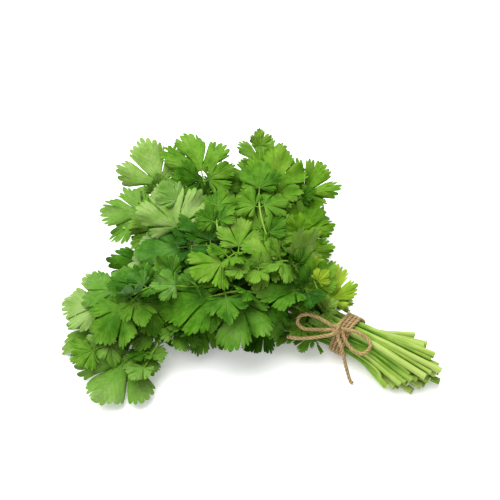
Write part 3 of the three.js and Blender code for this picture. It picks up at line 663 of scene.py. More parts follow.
def cut_stem(line, radius, sides, ridges, ridge, number, tone):
    """A stem from its cut end: its skin, open there, and the cut face across it."""
    skin = tube(line, radius, sides, ridges=ridges, ridge=ridge)
    skin["faces"], skin["uv"] = skin["faces"][::2], skin["uv"][::2]
    skin["values"] = {"along": np.repeat(distance_along(line) / STEM_LONG, sides), "tone": tone}
    return [skin, cut_end(line, CUT_PROUD * radius[0], number, sides)]


lines = settle(np.array([stem_above(number) for number in range(len(LEAVES))]))
STEM_GREENS = [(0.2, (0.33, 0.42, 0.11)), (0.34, (0.17, 0.30, 0.022)), (0.47, (0.032, 0.12, 0.001))]
STEM_SKIN = green_skin("stem_skin", STEM_GREENS, 0.36)
CUT_FACE = cut_face()
for number, (name, *_) in enumerate(LEAVES):
    below = stem_below(number)
    last = lines[number][ABOVE]
    end = last + STEM_OVERLAP * unit(lines[number][ABOVE + 1] - last)
    line = line_through([*below, *lines[number][:ABOVE + 1], end], STEM_STEP)
    far = distance_along(line)
    tied = distance_along(np.array([*below, lines[number][0]]))
    radii = [STEM_CUT, STEM_AT_TIE, STEM_AT_TIE, STEM_LEAF]
    radius = np.interp(far, [0, tied[-2], tied[-1], far[-1]], radii)
    radius = radius * (1 + STEM_UNEVEN * np.sin(far / STEM_WAVE + 6 * chance(number, 93)))
    surfaces = cut_stem(
        line, radius, STEM_SIDES, STEM_RIDGES, STEM_RIDGE, number, chance(number, 94),
    )
    make_piece(f"stalk_{name}", surfaces, [STEM_SKIN, CUT_FACE], "stem", f"stem_{name}")

# ---- the leaves --------------------------------------------------------------------------------
# Each leaf is one growth: a thin pale rib, short stalks that leave it in pairs, and soft leaflets,
# folded along their middle vein and wavy. A leaflet is a fan of an end lobe and two side lobes, cut
# into small round teeth.
TRIES = 60  # each may be turned, raised, leant, shifted and shrunk more than the last, up to:
TRY_TURN, TRY_NOSE, TRY_ROLL, TRY_SHIFT, TRY_SHRINK = 36, 50, 56, 0.25, 0.35
UNEVEN = {"end": (4, 8, 10), "side": (10, 22, 28)}  # how far turn, nose and roll differ
# Each leaflet's stalk in leaf sizes, its turn and nose off the rib, and its scale.
STALKS = [(0.06, 0, 0, 1), *[(0.2, way * 72, -4, 0.88) for way in (1, -1)]]
STALKS += [(0.22, way * 78, -6, 0.8) for way in (1, -1)]
STALKS += [(0.22, way * 80, 20, 0.92) for way in (1, -1)]
STALK_WIDTH, STALK_FROM_END, STALK_FROM_SIDE = 1.2, -1.2, 0.5
RIB_OFF = 1.5 * CLEAR
SOLID_BLADE, LYING = 0.7, 0.36  # the solid's thickness, and its middle's height where it lies
FOLD, DROOP, UNLIKE = (0.16, 0.2), (0.2, 0.22), 0.08  # the usual value and how far it differs
WAVE, WAVES = 0.05, 5  # how high it waves at its edge, and how often all round
LEAFLET_WIDTH = 0.9  # a leaflet's outline is drawn in by this much across
SOLID_TIPS = np.array([(0, 1.0), (45, 0.9), (-45, 0.9)])  # the solid's tips: angle and reach
TIP_FOUND, TIPS_FOUND = 0.03, 2  # how near a corner must be, and how many
RAYS, YOUNG_RAYS = 8, 4  # rays to a tooth of a leaflet


def place_back(number, far):
    """The point of a rib this far back from its end, or near its start, and the directions there."""
    _, _, turn, nose, roll, *_ = LEAVES[number]
    line, k = lines[number], len(lines[number]) - 1
    while k > ABOVE + 1 and far > np.linalg.norm(line[k] - line[k - 1]):
        far -= np.linalg.norm(line[k] - line[k - 1])
        k -= 1
    far = min(far, np.linalg.norm(line[k] - line[k - 1]) - 2 * RIB_OFF - STALK_WIDTH)
    ahead = unit(line[k] - line[k - 1])
    up = turned(np.eye(3), turn, nose, roll)[2]
    up = unit(up - (up @ ahead) * ahead)
    return line[k] - far * ahead, (ahead, np.cross(up, ahead), up)


def drawn_form(*seed):
    """How far a leaflet is folded up, how it droops, and where its waves begin."""
    return {
        "fold": FOLD[0] + FOLD[1] * spread(*seed, 5), "droop": DROOP[0] + DROOP[1] * spread(*seed, 6),
        "turns": math.pi * spread(*seed, 7),
    }


def leaflet_pose(number, which, attempt):
    """How one leaflet lies at one try: where its stalk and its blade begin, the way it faces, its
    size and its form."""
    size = LEAVES[number][5]
    stalk, turn, nose, scale = STALKS[which]
    share = attempt / TRIES
    drift = [share * spread(number, which, attempt, k) for k in range(5)]
    point, directions = place_back(number, LEAFLET_BACK[which] * size * (1 + TRY_SHIFT * drift[1]))
    loose = UNEVEN["side" if which else "end"]
    ahead, left, up = turned(
        directions,
        turn + loose[0] * spread(number, which, 1) + TRY_TURN * drift[2],
        nose + loose[1] * spread(number, which, 2) + TRY_NOSE * drift[3],
        loose[2] * spread(number, which, 3) + TRY_ROLL * drift[4],
    )
    return {
        "ahead": ahead, "left": left, "up": up,
        "root": point + (STALK_FROM_SIDE if which else STALK_FROM_END) * ahead,
        "base": point + stalk * size * ahead,
        "size": size * scale * (1 + UNLIKE * spread(number, which, 4)) * (1 - TRY_SHRINK * share),
        "rays": RAYS, **drawn_form(number, which),
    }


def stand_off(pose, x, y):
    """How far a point of a leaflet stands off its flat, in lengths: folded up along the middle
    vein, drooping with the square of the distance from the base, and waved round it."""
    square = x * x + y * y
    wave = WAVE * np.sin(WAVES * np.arctan2(x, y) + pose["turns"])
    return pose["fold"] * np.abs(x) + (wave - pose["droop"]) * square


def on_leaflet(pose, x, y, z):
    """Places on a leaflet: x across it, y along it and z off its flat, in lengths. None is lower
    than a blade that lies on the surface."""
    size = pose["size"]
    points = pose["base"] + size * (
        -x[..., None] * pose["left"] + y[..., None] * pose["ahead"] + z[..., None] * pose["up"]
    )
    points[..., 2] = np.maximum(points[..., 2], LYING)
    return points


def find_pose(number, which, corners):
    """The first try whose lobes' tips are corners of the solid leaf: that is how it grew."""
    at, reach = np.radians(SOLID_TIPS[:, 0]), SOLID_TIPS[:, 1]
    x, y = LEAFLET_WIDTH * reach * np.sin(at), reach * np.cos(at)
    for attempt in range(TRIES):
        pose = leaflet_pose(number, which, attempt)
        tips = on_leaflet(pose, x, y, stand_off(pose, x, y))
        faces = np.concatenate([tips + way * SOLID_BLADE / 2 * pose["up"] for way in (1, -1)])
        nearest = np.linalg.norm(corners[None] - faces[:, None], axis=2).min(1)
        if (nearest < TIP_FOUND).sum() >= TIPS_FOUND:
            return pose
    return None


# Where two teeth of half a leaflet meet, in degrees off the middle vein, and how deep the cut
# between them is, in lengths. The pairs of deep ones are the slits that part the end lobe, the
# side lobe and the lobe at the back.
CUTS = [
    (4.2, 0.08), (11, 0.19), (18, 0.08), (24.5, 0.09), (31, 0.46), (33, 0.46), (40, 0.09), (47, 0.18),
    (54.5, 0.08), (62, 0.17), (69, 0.09), (75.5, 0.40), (78, 0.40), (86, 0.08), (93, 0.13),
    (100, 0.08), (107, 0.05),
]
REACH_AT = [0, 11, 22, 31, 33, 40, 52, 64, 75, 78, 90, 100, 107]
REACH = [1.07, 1.0, 0.93, 0.84, 0.84, 0.93, 1.0, 0.93, 0.78, 0.62, 0.68, 0.60, 0.46]
SLIT_DEEP, SLIT_WIDE = 0.3, 2.6  # slits are cuts deeper than this, less than so many degrees apart
SLIT_FOOT, LEAST_REACH = 0.01, 0.14
CUT_LOOSE, DEEP_LOOSE, SLIT_LOOSE, ALL_LOOSE, CREST_LOOSE = 1.3, 0.4, 0.15, 0.25, 0.025
SHARES_OUT, SHARES_IN = [1, 0.95, 0.86], [0.72, 0.57, 0.42, 0.27, 0.14]
THICK = 0.34
LOBE_MIDDLES = [(0, 32), (54.5, 22.5), (92, 15)]  # each lobe's middle and half width, in degrees
SAG, SAG_LOBES, BULGE, RUFFLE, BEND, BEND_LOOSE = 0.085, 0.055, 0.028, 0.026, 0.04, 0.06


def edge(rays, seed):
    """The edge as so many rays a tooth: their angles off the middle vein and their reach, in
    lengths. Each tooth is half an ellipse that stands between the cuts on its two sides, up to the
    lobes' reach."""
    at, depth = np.array(CUTS).T
    slit = depth > SLIT_DEEP
    depth = depth * (1 + ALL_LOOSE * spread(seed[0], 61))
    half = []
    for side in (0, 1):
        loose = [[spread(*seed, k, side), spread(*seed, k, 2 + side)] for k in range(len(at))]
        loose = np.array(loose)
        angle = at + np.where(slit, 0, CUT_LOOSE) * loose[:, 0]
        deep = depth * (1 + np.where(slit, SLIT_LOOSE, DEEP_LOOSE) * loose[:, 1])
        half.append((angle, deep, loose[::-1, 0]))
    angle = np.concatenate([-half[0][0][::-1], half[1][0]])
    deep = np.concatenate([half[0][1][::-1], half[1][1]])
    loose = np.concatenate([half[0][2], half[1][2]])[1:]
    low = np.maximum(np.interp(np.abs(angle), REACH_AT, REACH) - deep, LEAST_REACH)
    in_slit = np.diff(angle) < SLIT_WIDE
    crest = np.interp(np.abs(angle[:-1] + angle[1:]) / 2, REACH_AT, REACH) * (1 + CREST_LOOSE * loose)
    crest = np.where(in_slit, np.minimum(low[:-1], low[1:]) - SLIT_FOOT, crest)
    step = np.pi * np.arange(rays) / rays
    theta = angle[:-1, None] + np.diff(angle)[:, None] * (1 - np.cos(step)) / 2
    foot = np.where(step < np.pi / 2, low[:-1, None], low[1:, None])
    reach = foot + (crest[:, None] - foot) * np.sin(step)
    return np.append(theta, angle[-1]), np.append(reach, low[-1])


def relief(theta, share, x, y, seed):
    """The blade's own unevenness, in lengths: each lobe bends up or down to its slits and sags by
    its own amount, soft bulges cross it, and its edge is ruffled."""
    angle, off = np.radians(theta), np.abs(theta)
    ends = [middle + half for middle, half in LOBE_MIDDLES[:-1]]
    lobe = np.searchsorted(ends, off, side="right")
    middle, half = np.array(LOBE_MIDDLES).T
    across = np.abs(off - middle[lobe]) / half[lobe]
    a, b, c, d, e, f = (2 * np.pi * chance(*seed, 40 + k) for k in range(6))
    sag = SAG * np.cos(3 * angle + a) + SAG_LOBES * np.cos(7 * angle + b)
    bulges = np.sin(11 * (x * np.cos(c) + y * np.sin(c)) + d)
    bulges = bulges + np.sin(15 * (x * np.cos(e) + y * np.sin(e)) + f)
    ruffle = np.sin(9 * angle + c) + 0.8 * np.sin(17 * angle + d)
    bend = BEND + BEND_LOOSE * spread(*seed, 46)
    lie = (x * x + y * y) * sag - bend * share**2 * across**2
    return lie + BULGE * share * bulges + RUFFLE * share**5 * ruffle


def blade(pose, seed):
    """One leaflet's blade: two sheets on a fan of rays from the base to the edge, which meet at
    the edge. They are furthest apart in the middle."""
    theta, reach = edge(pose["rays"], seed)
    step = pose["rays"] // 2
    rings, flats = [], []
    for shares, taken in ((SHARES_OUT, slice(None)), (SHARES_IN, slice(None, None, step))):
        share = np.array(shares)[:, None]
        angle, far = np.radians(theta[taken])[None], reach[taken][None]
        x = LEAFLET_WIDTH * share * far * np.sin(angle)
        y = share * far * np.cos(angle)
        z = stand_off(pose, x, y) + relief(theta[taken][None], share, x, y, seed)
        middle = on_leaflet(pose, x, y, z)
        inner = np.sin(np.pi * (angle - angle[0, 0]) / (angle[0, -1] - angle[0, 0]))
        half = THICK / 2 * np.sqrt(np.clip(inner, 0, 1)) * np.sqrt(1 - share**6)
        half[:, [0, -1]] = 0
        lift = half[..., None] * pose["up"]
        rings.append((middle + lift, middle - lift))
        flats.append(np.stack([x, y], -1) * pose["size"])
    many, few = len(theta), len(theta[::step])
    counts = [many] * len(SHARES_OUT) + [few] * len(SHARES_IN)
    starts = np.cumsum([0] + counts)
    base = starts[-1]
    over = np.concatenate([r[0].reshape(-1, 3) for r in rings])
    under = np.concatenate([r[1].reshape(-1, 3) for r in rings])
    flat = np.concatenate([f.reshape(-1, 2) for f in flats])
    shared = np.zeros(base, bool)
    shared[:many], shared[starts[:-1]], shared[starts[1:] - 1] = True, True, True
    low = np.arange(base)
    low[~shared] = base + 1 + np.arange((~shared).sum())
    points = np.concatenate([over, pose["base"][None], under[~shared]])
    flat = np.concatenate([flat, [[0, 0]], flat[~shared]])

    faces = []
    for index, order in ((np.arange(base + 1), 1), (np.append(low, base), -1)):
        quads = []
        for k, count in enumerate(counts[:-1]):
            if counts[k + 1] != count:
                continue
            a, b = starts[k] + np.arange(count - 1), starts[k + 1] + np.arange(count - 1)
            quads.append(np.stack([a, a + 1, b + 1, b], 1))
        a = starts[len(SHARES_OUT) - 1] + np.arange(0, many - 1, step)
        b = starts[len(SHARES_OUT)] + np.arange(few - 1)
        corners = [(a + k, a + k + 1, b + (k >= step // 2)) for k in range(step)]
        corners.append((a + step // 2, b + 1, b))
        tips = starts[-2] + np.arange(few - 1)
        corners.append((tips, tips + 1, np.full(few - 1, base)))
        quads, fans = np.concatenate(quads), np.concatenate([np.stack(c, 1) for c in corners])
        faces += [index[quads][:, ::-order], index[fans][:, ::-order]]
    return {"points": points, "faces": faces, "uv": [flat[f] for f in faces], "kinds": [0, 0, 1, 1]}


def leaf_veins():
    """A blade's veins, from the place on it in millimetres off its base. Veins are 1 and the flesh
    between them 0: main ones fan out to the lobes, fine side veins slant off them, and a net fills
    what is left. Swell is how the flesh stands up between the main and the side veins."""
    group, given, out = new_group("leaf_veins", {"Place": "Vector"}, {"Veins": "Float", "Swell": "Float"})
    split = put(group, "ShaderNodeSeparateXYZ", {"Vector": given["Place"]}).outputs
    angle = maths(group, "ARCTAN2", split["X"], split["Y"])
    far = put(group, "ShaderNodeVectorMath", {0: given["Place"]}, operation="LENGTH").outputs["Value"]
    off = maths(group, "MULTIPLY", maths(group, "PINGPONG", angle, math.radians(26.5)), far)
    wide = between(group, far, 0.0, 34.0, 0.5, 0.16)
    main = between(group, off, 0.0, wide, 1.0, 0.0)
    slant = maths(group, "SUBTRACT", far, maths(group, "MULTIPLY", off, 1.3))
    side = between(group, maths(group, "PINGPONG", slant, 2.2), 0.0, 0.3, 0.6, 0.0)
    net = put(group, "ShaderNodeTexVoronoi", {"Vector": given["Place"], "Scale": 1.1},
              feature="DISTANCE_TO_EDGE", voronoi_dimensions="2D").outputs["Distance"]
    net = between(group, net, 0.0, 0.09, 0.3, 0.0)
    large = maths(group, "MAXIMUM", main, side)
    group.links.new(maths(group, "MAXIMUM", large, net), out["Veins"])
    group.links.new(maths(group, "SUBTRACT", 1.0, large), out["Swell"])
    return group


def leaf_green():
    """A blade's own green from 0, deep, to 1, pale: its tone, broken by broad patches and fine
    mottling, and paler towards the edge."""
    takes, gives = {"Place": "Vector", "Tone": "Float"}, {"Green": "Float", "Patches": "Float"}
    group, given, out = new_group("leaf_green", takes, gives)
    here = put(group, "ShaderNodeTexCoord").outputs["Object"]
    patches = noise(group, here, 70.0, 3.0)
    mottling = noise(group, here, 320.0, 3.0, 0.6)
    far = put(group, "ShaderNodeVectorMath", {0: given["Place"]}, operation="LENGTH").outputs["Value"]
    green = maths(group, "ADD", given["Tone"], between(group, patches, 0.25, 0.75, -0.17, 0.17))
    green = maths(group, "ADD", green, between(group, mottling, 0.25, 0.75, -0.07, 0.07))
    green = maths(group, "ADD", green, between(group, far, 6.0, 34.0, -0.02, 0.1))
    group.links.new(green, out["Green"])
    group.links.new(patches, out["Patches"])
    return group


def tinted():
    """A green that has turned: yellow where it is warm, above 0, and bluish where it is cool."""
    group, given, out = new_group("tinted", {"Colour": "Color", "Warmth": "Float"}, {"Colour": "Color"})
    colour = given["Colour"]
    warm = maths(group, "MAXIMUM", given["Warmth"], 0.0)
    cool = maths(group, "MAXIMUM", maths(group, "MULTIPLY", given["Warmth"], -1.0), 0.0)
    yellow = mixed(group, 1.0, colour, (1.22, 1.12, 0.3), "MULTIPLY")
    bluish = mixed(group, 1.0, colour, (0.85, 0.92, 2.2), "MULTIPLY")
    group.links.new(mixed(group, cool, mixed(group, warm, colour, yellow), bluish), out["Colour"])
    return group


LEAF_VEINS, LEAF_GREEN, TINTED = leaf_veins(), leaf_green(), tinted()


def leaf_face(name, stops, veins_colour, veins_share, rough):
    """One side of the blade: soft green flesh with pale veins. A little light comes through."""
    material, tree = new_material(name)
    place = put(tree, "ShaderNodeUVMap", uv_map="lie").outputs["UV"]
    tone = put(tree, "ShaderNodeAttribute", attribute_name="tone").outputs["Fac"]
    warmth = put(tree, "ShaderNodeAttribute", attribute_name="warmth").outputs["Fac"]
    veins = put(tree, "ShaderNodeGroup", {"Place": place}, node_tree=LEAF_VEINS).outputs
    green = put(tree, "ShaderNodeGroup", {"Place": place, "Tone": tone}, node_tree=LEAF_GREEN).outputs
    paler = between(tree, tone, 0.2, 0.9, 0.4 * veins_share, veins_share)
    share = maths(tree, "MULTIPLY", veins["Veins"], paler)
    colour = mixed(tree, share, shades(tree, green["Green"], stops), veins_colour)
    colour = put(tree, "ShaderNodeGroup", {"Colour": colour, "Warmth": warmth}, node_tree=TINTED).outputs[0]

    pores = noise(tree, put(tree, "ShaderNodeTexCoord").outputs["Object"], 2200.0, 2.0)
    height = maths(tree, "ADD", veins["Swell"], maths(tree, "MULTIPLY", pores, 0.25))
    bump = put(tree, "ShaderNodeBump", {"Height": height, "Strength": 0.7, "Distance": 0.0006})
    skin = put(tree, "ShaderNodeBsdfPrincipled", {
        "Base Color": colour, "Roughness": between(tree, green["Patches"], 0.3, 0.7, rough, rough + 0.12),
        "Normal": bump.outputs["Normal"], "Specular IOR Level": 0.06,
    })
    lit = mixed(tree, 1.0, colour, (0.75, 1.2, 0.25), "MULTIPLY")
    through = put(tree, "ShaderNodeBsdfTranslucent", {"Color": lit, "Normal": bump.outputs["Normal"]})
    both = put(tree, "ShaderNodeMixShader", {"Fac": 0.27, 1: skin.outputs[0], 2: through.outputs[0]})
    finish_with(tree, both.outputs[0])
    return material


LEAF_TOP = leaf_face(
    "leaf_top",
    [(0.0, (0.009, 0.060, 0.0002)), (0.3, (0.038, 0.148, 0.0012)), (0.55, (0.100, 0.250, 0.014)),
     (0.8, (0.165, 0.310, 0.045)), (1.0, (0.240, 0.375, 0.100))],
    (0.36, 0.50, 0.20), 0.4, 0.5,
)
LEAF_UNDER = leaf_face(
    "leaf_under",
    [(0.0, (0.040, 0.120, 0.012)), (0.5, (0.100, 0.230, 0.030)), (1.0, (0.240, 0.380, 0.110))],
    (0.38, 0.50, 0.22), 0.6, 0.6,
)
RIB_SKIN = green_skin("rib_skin", [(0.2, (0.22, 0.36, 0.05)), (0.5, (0.085, 0.21, 0.008))], 0.4)
LEAF_SKINS = [LEAF_TOP, LEAF_UNDER, RIB_SKIN]

ROOM_STEP, ROOM_FROM = 1.2, np.array([-210.0, -150.0, -6.0])
room = np.zeros((260, 250, 70), bool)  # the cells of the air round the bunch that are taken
TOP = cad_box[1][2] / MM - TIE[2] + 1  # no young leaflet reaches higher
COVER_ROWS, COVER_COLUMNS, COVER_STALK = 22, 84, 5  # rows by the stalk may lie in taken cells
COVER_FROM, COVER_SIDE = 0.08, 105
YOUNG_TRIES, YOUNG_TOUCH, YOUNG_STALK = 70, 0.04, 0.22
YOUNG_UNEVEN, YOUNG_UNLIKE, YOUNG_RISE = (10, 14, 24), 0.12, 30
YOUNG_TURN, YOUNG_NOSE, YOUNG_ROLL, YOUNG_SHRINK = 60, 50, 60, 0.4


def cells(points):
    """The cells of the room that hold these points."""
    return tuple(np.floor((np.asarray(points) - ROOM_FROM) / ROOM_STEP).astype(int).reshape(-1, 3).T)


def take(points, about=0):
    """Marks the cells at these points, and about so many round each, as taken."""
    x, y, z = cells(points)
    reach = range(-about, about + 1)
    for dx in reach:
        for dy in reach:
            for dz in reach:
                room[x + dx, y + dy, z + dz] = True


def cover(pose, seed):
    """Points all over a leaflet, without its teeth, in rows from its base out to its lobes."""
    off, share = np.linspace(-COVER_SIDE, COVER_SIDE, COVER_COLUMNS), np.linspace(COVER_FROM, 1, COVER_ROWS)
    theta, share = np.meshgrid(off, share)
    reach = share * np.interp(np.abs(theta), REACH_AT, REACH)
    x, y = LEAFLET_WIDTH * reach * np.sin(np.radians(theta)), reach * np.cos(np.radians(theta))
    z = stand_off(pose, x, y) + relief(theta, share, x, y, seed)
    return on_leaflet(pose, x, y, z).reshape(-1, 3)


def young_pose(point, directions, turn, nose, size, seed):
    """A small leaflet that finds its own place: the first of a row of tries, each further from the
    drawn pose, that lies in free air."""
    loose = [uneven * spread(*seed, k + 1) for k, uneven in enumerate(YOUNG_UNEVEN)]
    for attempt in range(YOUNG_TRIES):
        share = attempt / YOUNG_TRIES
        drift = [share * spread(*seed, attempt, k) for k in range(3)]
        ahead, left, up = turned(
            directions, turn + loose[0] + YOUNG_TURN * drift[0],
            nose + loose[1] + YOUNG_RISE * share + YOUNG_NOSE * drift[1],
            loose[2] + YOUNG_ROLL * drift[2],
        )
        pose = {
            "ahead": ahead, "left": left, "up": up,
            "root": point, "base": point + YOUNG_STALK * size * ahead,
            "size": size * (1 + YOUNG_UNLIKE * spread(*seed, 4)) * (1 - YOUNG_SHRINK * share),
            "rays": YOUNG_RAYS, **drawn_form(*seed),
        }
        points = cover(pose, seed)
        touching = room[cells(points[COVER_COLUMNS * COVER_STALK:])].mean()
        if touching < YOUNG_TOUCH and points[:, 2].max() < TOP:
            return pose
    return None


def place_on(line, back):
    """The point of a line this far back from its end, and the directions there."""
    far = distance_along(line)
    at = [np.interp(far[-1] - back + d, far, line[:, k]) for d in (0, 0.5) for k in range(3)]
    point, next_point = np.array(at[:3]), np.array(at[3:])
    ahead = unit(next_point - point)
    left = unit(np.cross((0, 0, 1), ahead))
    return point, (ahead, left, np.cross(ahead, left))


def thin_stalk(line, radius, sides, along, tone, ridges=0, ridge=0.0):
    """A leaf's rib or stalk, in the last of its three skins."""
    stalk = tube(line, radius, sides, ridges=ridges, ridge=ridge)
    stalk["kinds"], stalk["values"] = [2] * 3, {"along": along, "tone": tone}
    return stalk


def leaflet_surfaces(pose, seed, tone, warmth):
    """A leaflet's round stalk and its blade."""
    reach = pose["base"] + STALK_INTO * pose["size"] * pose["ahead"]
    line = line_through([pose["root"], pose["base"], reach], 1.0)
    leaflet = blade(pose, seed)
    leaflet["values"] = {
        "tone": tone + TONE_LOOSE * spread(*seed, 31), "warmth": warmth + WARMTH_LOOSE * spread(*seed, 32),
    }
    return [thin_stalk(line, np.linspace(*STALK_RADII, len(line)), 8, 0.9, 0.5), leaflet]


def young_leaflet(place, turn, nose, size, tone, warmth, seed):
    """A young leaflet's surfaces, and its cells taken, where it finds a place."""
    pose = young_pose(*place, turn, nose, size, seed)
    if not pose:
        return []
    take(cover(pose, seed))
    return leaflet_surfaces(pose, seed, tone, warmth)


STALK_INTO, STALK_RADII, TONE_LOOSE, WARMTH_LOOSE = 0.06, (0.6, 0.3), 0.13, 0.2
RIB_SIDES, RIB_RIDGES, RIB_RIDGE = 10, 3, 0.05
EXTRAS, EXTRA_FIRST, EXTRA_APART, EXTRA_ENDS = 10, 0.2, 0.42, 14  # young pairs behind the leaflets
# The young pairs lie inside the mound, and the last of these lowers their tone as painted shade.
EXTRA_TURN, EXTRA_NOSE, EXTRA_SIZE, EXTRA_PAINTED_SHADE = 75, 20, 0.62, 0.1
for points in BOW.values():
    take(line_through(points, 1.0), 2)
take(wrap_line, 2)
stem_lines = []
for number in range(len(LEAVES)):
    stem_lines.append(line_through([*stem_below(number), *lines[number]], 1.0))
    take(stem_lines[-1], 1)

grown = []
for number, (name, *_, leaflets, _, _) in enumerate(LEAVES):
    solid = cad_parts[f"leaf_{name}"].data.vertices
    corners = np.empty(len(solid) * 3)
    solid.foreach_get("co", corners)
    corners = np.unique(corners.reshape(-1, 3) / MM - TIE, axis=0)
    poses = [(which, find_pose(number, which, corners)) for which in range(leaflets)]
    grown.append([(which, pose) for which, pose in poses if pose])
    for which, pose in grown[-1]:
        take(cover(pose, (number, which)))

for number, (name, *_, size, _, tone, warmth) in enumerate(LEAVES):
    line = line_through(lines[number][ABOVE:], 1.5)
    far = distance_along(line)
    radius = np.interp(far, [0, 2, far[-1] - 3, far[-1]], [STEM_LEAF * 0.98, 0.8, 0.6, 0.5])
    surfaces = [thin_stalk(line, radius, RIB_SIDES, 0.8, chance(number, 94), RIB_RIDGES, RIB_RIDGE)]
    for which, pose in grown[number]:
        surfaces += leaflet_surfaces(pose, (number, which), tone, warmth)
    for k in range(EXTRAS):
        back = (EXTRA_FIRST + EXTRA_APART * (k // 2)) * size
        if back > distance_along(lines[number])[-1] - EXTRA_ENDS:
            break
        surfaces += young_leaflet(
            place_on(stem_lines[number], back), EXTRA_TURN * (1 - 2 * (k % 2)), EXTRA_NOSE,
            EXTRA_SIZE * size, tone - EXTRA_PAINTED_SHADE, warmth, (number, 10 + k),
        )
    make_piece(f"foliage_{name}", surfaces, LEAF_SKINS, "leaf", f"leaf_{name}")

# ---- the young shoots --------------------------------------------------------------------------
# Thin young shoots lie in the grooves between the outer stems and under the twine. They are cut
# with the rest, and each ends soon past the tie in a few small tender leaflets.
SHOOTS = [
    # the two stems that it lies between, its head, turn and nose there, leaflets, size
    ("collar_top", "neck_back", (-34, 8, 39), 167, 28, 3, 15),
    ("crest", "collar_top", (-26, 0, 37), 172, 32, 3, 15),
    ("crest", "brow", (-44, -10, 40), -172, 22, 2, 16),
    ("brow", "wing_front", (-22, -6, 31), 175, 34, 3, 15),
    ("wing_front", "neck_front", (-38, -18, 27), -165, 24, 3, 16),
    ("neck_front", "skirt_front", (-26, -18, 18), -158, 16, 3, 17),
    ("skirt_front", "foot_front", (-42, -20, 13), -162, 10, 3, 18),
    ("foot_front", "hem_front", (-26, -9, 8), -166, 8, 3, 15),
    ("neck_back", "wing_back", (-24, 12, 30), 155, 20, 3, 15),
]
SHOOT_CUT, SHOOT_AT_TIE, SHOOT_HEAD, SHOOT_STEP, SHOOT_SIDES = 1.4, 0.65, 0.6, 2.0, 16
SHOOT_OUT, SHOOT_SHORT = 1.4, 5  # how far it lies out of its groove, and is cut short
SHOOT_TONE, SHOOT_WARMTH = 0.68, 0.3
SHOOT_SHARES = np.linspace(0, 1, 9)
SHOOT_DEEPER = np.array([0.4, 0.8, 1, 1])[:, None]  # its cut end lies deeper in the groove
TENDER_FROM, TENDER_APART, TENDER_TURN, TENDER_NOSE = 0.05, 0.6, 70, 10
TENDER_SIDE, TENDER_LOOSE = 0.85, 0.08
names = [leaf[0] for leaf in LEAVES]


def tender_leaflets(line, leaflets, size, tone, warmth, seed):
    """A small leaflet at the end of a shoot's line, and others behind it on its two sides."""
    surfaces = []
    tone += TENDER_LOOSE * spread(*seed, 3)
    for j in range(leaflets):
        place = place_on(line, TENDER_FROM + TENDER_APART * size * ((j + 1) // 2))
        turn, scale = (TENDER_TURN * (1 - 2 * (j % 2)), TENDER_SIDE) if j else (0, 1)
        surfaces += young_leaflet(place, turn, TENDER_NOSE, size * scale, tone, warmth, (*seed, j))
    return surfaces


for k, (one, other, head, turn, nose, leaflets, size) in enumerate(SHOOTS):
    one, other = names.index(one), names.index(other)
    seed = (100 + k,)
    out = (slots[one] + slots[other]) / 2 - slots.mean(0)
    out = SHOOT_OUT * np.array([0, *unit(out)])
    below = (stem_below(one) + stem_below(other)) / 2 + SHOOT_DEEPER * out
    below[0, 0] -= SHOOT_SHORT * (1 + spread(*seed, 1))
    start = (lines[one][0] + lines[other][0]) / 2 + out
    ahead = turned(np.eye(3), turn, nose, 0)[0]
    above = bend_points(start, (-1, 0, 0), head, -ahead, HOLD_ABOVE, SHOOT_SHARES)[0]
    line = line_through([*below, *above], SHOOT_STEP)
    far, tied = distance_along(line), distance_along(np.array([*below, start]))
    radius = [SHOOT_CUT, SHOOT_AT_TIE, SHOOT_AT_TIE, SHOOT_HEAD]
    radius = np.interp(far, [0, tied[-2], tied[-1], far[-1]], radius)
    surfaces = cut_stem(line, radius, SHOOT_SIDES, 4, 0.04, seed[0], chance(*seed, 2))
    make_piece(f"shoot_{k + 1}", surfaces, [STEM_SKIN, CUT_FACE], "stem")
    surfaces = tender_leaflets(line, leaflets, size, SHOOT_TONE, SHOOT_WARMTH, seed)
    if surfaces:
        make_piece(f"shoot_leaflets_{k + 1}", surfaces, LEAF_SKINS, "leaf")

# ---- the side shoots ---------------------------------------------------------------------------
# Stems branch: past the tie, a thin side shoot leaves some of them, rises through the mound and
# ends in a few tender leaflets on top of it.
SIDE_SHOOTS = [
    # the stem that it leaves, how far past the tie, its head, turn and nose there, leaflets, size
    ("crown", 24, (-96, 47, 57), 118, 4, 3, 19),
    ("brow", 24, (-112, 18, 59), 106, 2, 3, 17),
    ("wing_front", 34, (-104, -44, 50), -150, 0, 3, 17),
    ("plume", 44, (-140, 12, 54), 150, 6, 3, 18),
    ("tip_front", 44, (-130, -62, 44), -112, -6, 3, 17),
    ("collar_top", 16, (-72, -14, 57), -146, -4, 3, 16),
    ("shoulder_back", 16, (-58, 34, 48), 74, 4, 3, 16),
    ("fork", 40, (-108, 78, 44), 100, 10, 3, 18),
    ("skirt_front", 40, (-96, -54, 32), -126, -6, 3, 17),
    ("neck_back", 10, (-36, 14, 44), 128, 6, 3, 15),
    ("fringe_low", 70, (-140, -96, 15), -112, 0, 3, 16),
    ("foot_front", 60, (-104, -90, 16), -74, 0, 3, 16),
    ("under_front", 60, (-62, -34, 27), -118, -4, 3, 15),
    ("fork", 56, (-118, 87, 54), 120, 38, 1, 12),
]
SIDE_SHOOT_START = 0.85
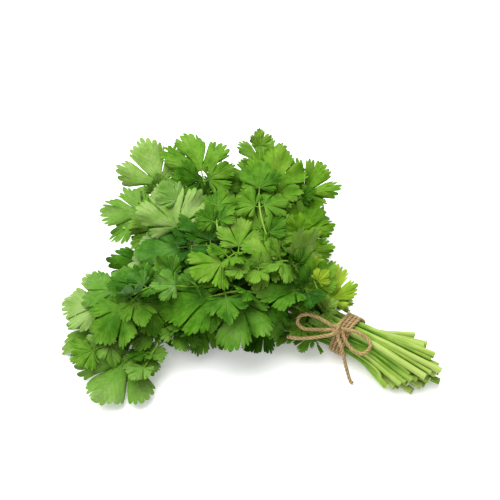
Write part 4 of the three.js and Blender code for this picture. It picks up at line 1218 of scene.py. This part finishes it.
for k, (stem, past, head, turn, nose, leaflets, size) in enumerate(SIDE_SHOOTS):
    number = names.index(stem)
    line, (*_, tone, warmth) = stem_lines[number], LEAVES[number]
    past_tie = line[line[:, 0] < -TIE_LEVEL]
    step = np.searchsorted(distance_along(past_tie), past)
    start, ahead = past_tie[step], turned(np.eye(3), turn, nose, 0)[0]
    leaving = unit(past_tie[step + 1] - start)
    bend = bend_points(start, leaving, head, -ahead, HOLD_ABOVE, SHOOT_SHARES)[0]
    line = line_through(bend, SHOOT_STEP)
    radius = np.linspace(SIDE_SHOOT_START, SHOOT_HEAD, len(line))
    surfaces = [thin_stalk(line, radius, RIB_SIDES, 0.5, chance(200 + k, 2), RIB_RIDGES, RIB_RIDGE)]
    surfaces += tender_leaflets(line, leaflets, size, tone, warmth, (200 + k,))
    make_piece(f"side_shoot_{k + 1}", surfaces, LEAF_SKINS, "leaf")

# ---- the floor and the light -------------------------------------------------------------------
# A plain white table that glows a little, under soft studio light: one broad lamp up to the left,
# and white all round.
floor_mesh = bpy.data.meshes.new("floor")
FLOOR, LAMP_FAR, LAMP_WAY = 4, 0.9, Vector((-0.45, 0.1, 1.0))
floor_corners = [(-FLOOR, -FLOOR, 0), (FLOOR, -FLOOR, 0), (FLOOR, FLOOR, 0), (-FLOOR, FLOOR, 0)]
floor_mesh.from_pydata(floor_corners, [], [(0, 1, 2, 3)])
floor = bpy.data.objects.new("floor", floor_mesh)
scene.collection.objects.link(floor)
white, tree = new_material("white_table")
speck = noise(tree, put(tree, "ShaderNodeTexCoord").outputs["Object"], 3.0, 2.0)
paint = put(tree, "ShaderNodeBsdfPrincipled", {
    "Base Color": shades(tree, speck, [(0.3, (0.94, 0.94, 0.94)), (0.7, (0.96, 0.96, 0.96))]),
    "Roughness": 0.8, "Specular IOR Level": 0.1,
    "Emission Color": (1, 1, 1, 1), "Emission Strength": 0.21,
})
finish_with(tree, paint.outputs[0])
floor_mesh.materials.append(white)

world = bpy.data.worlds.new("studio")
world.use_nodes = True
air = world.node_tree.nodes["Background"].inputs
air["Color"].default_value, air["Strength"].default_value = (1, 1, 1, 1), 0.72
scene.world = world
lamp = bpy.data.objects.new("lamp", bpy.data.lights.new("lamp", "AREA"))
lamp.data.shape, lamp.data.size, lamp.data.energy = "DISK", 1.3, 21
lamp.location = (aim * MM) + LAMP_FAR * LAMP_WAY.normalized()
lamp.rotation_euler = (lamp.location - aim * MM).to_track_quat("Z", "Y").to_euler()
scene.collection.objects.link(lamp)
scene.view_settings.view_transform = "Standard"
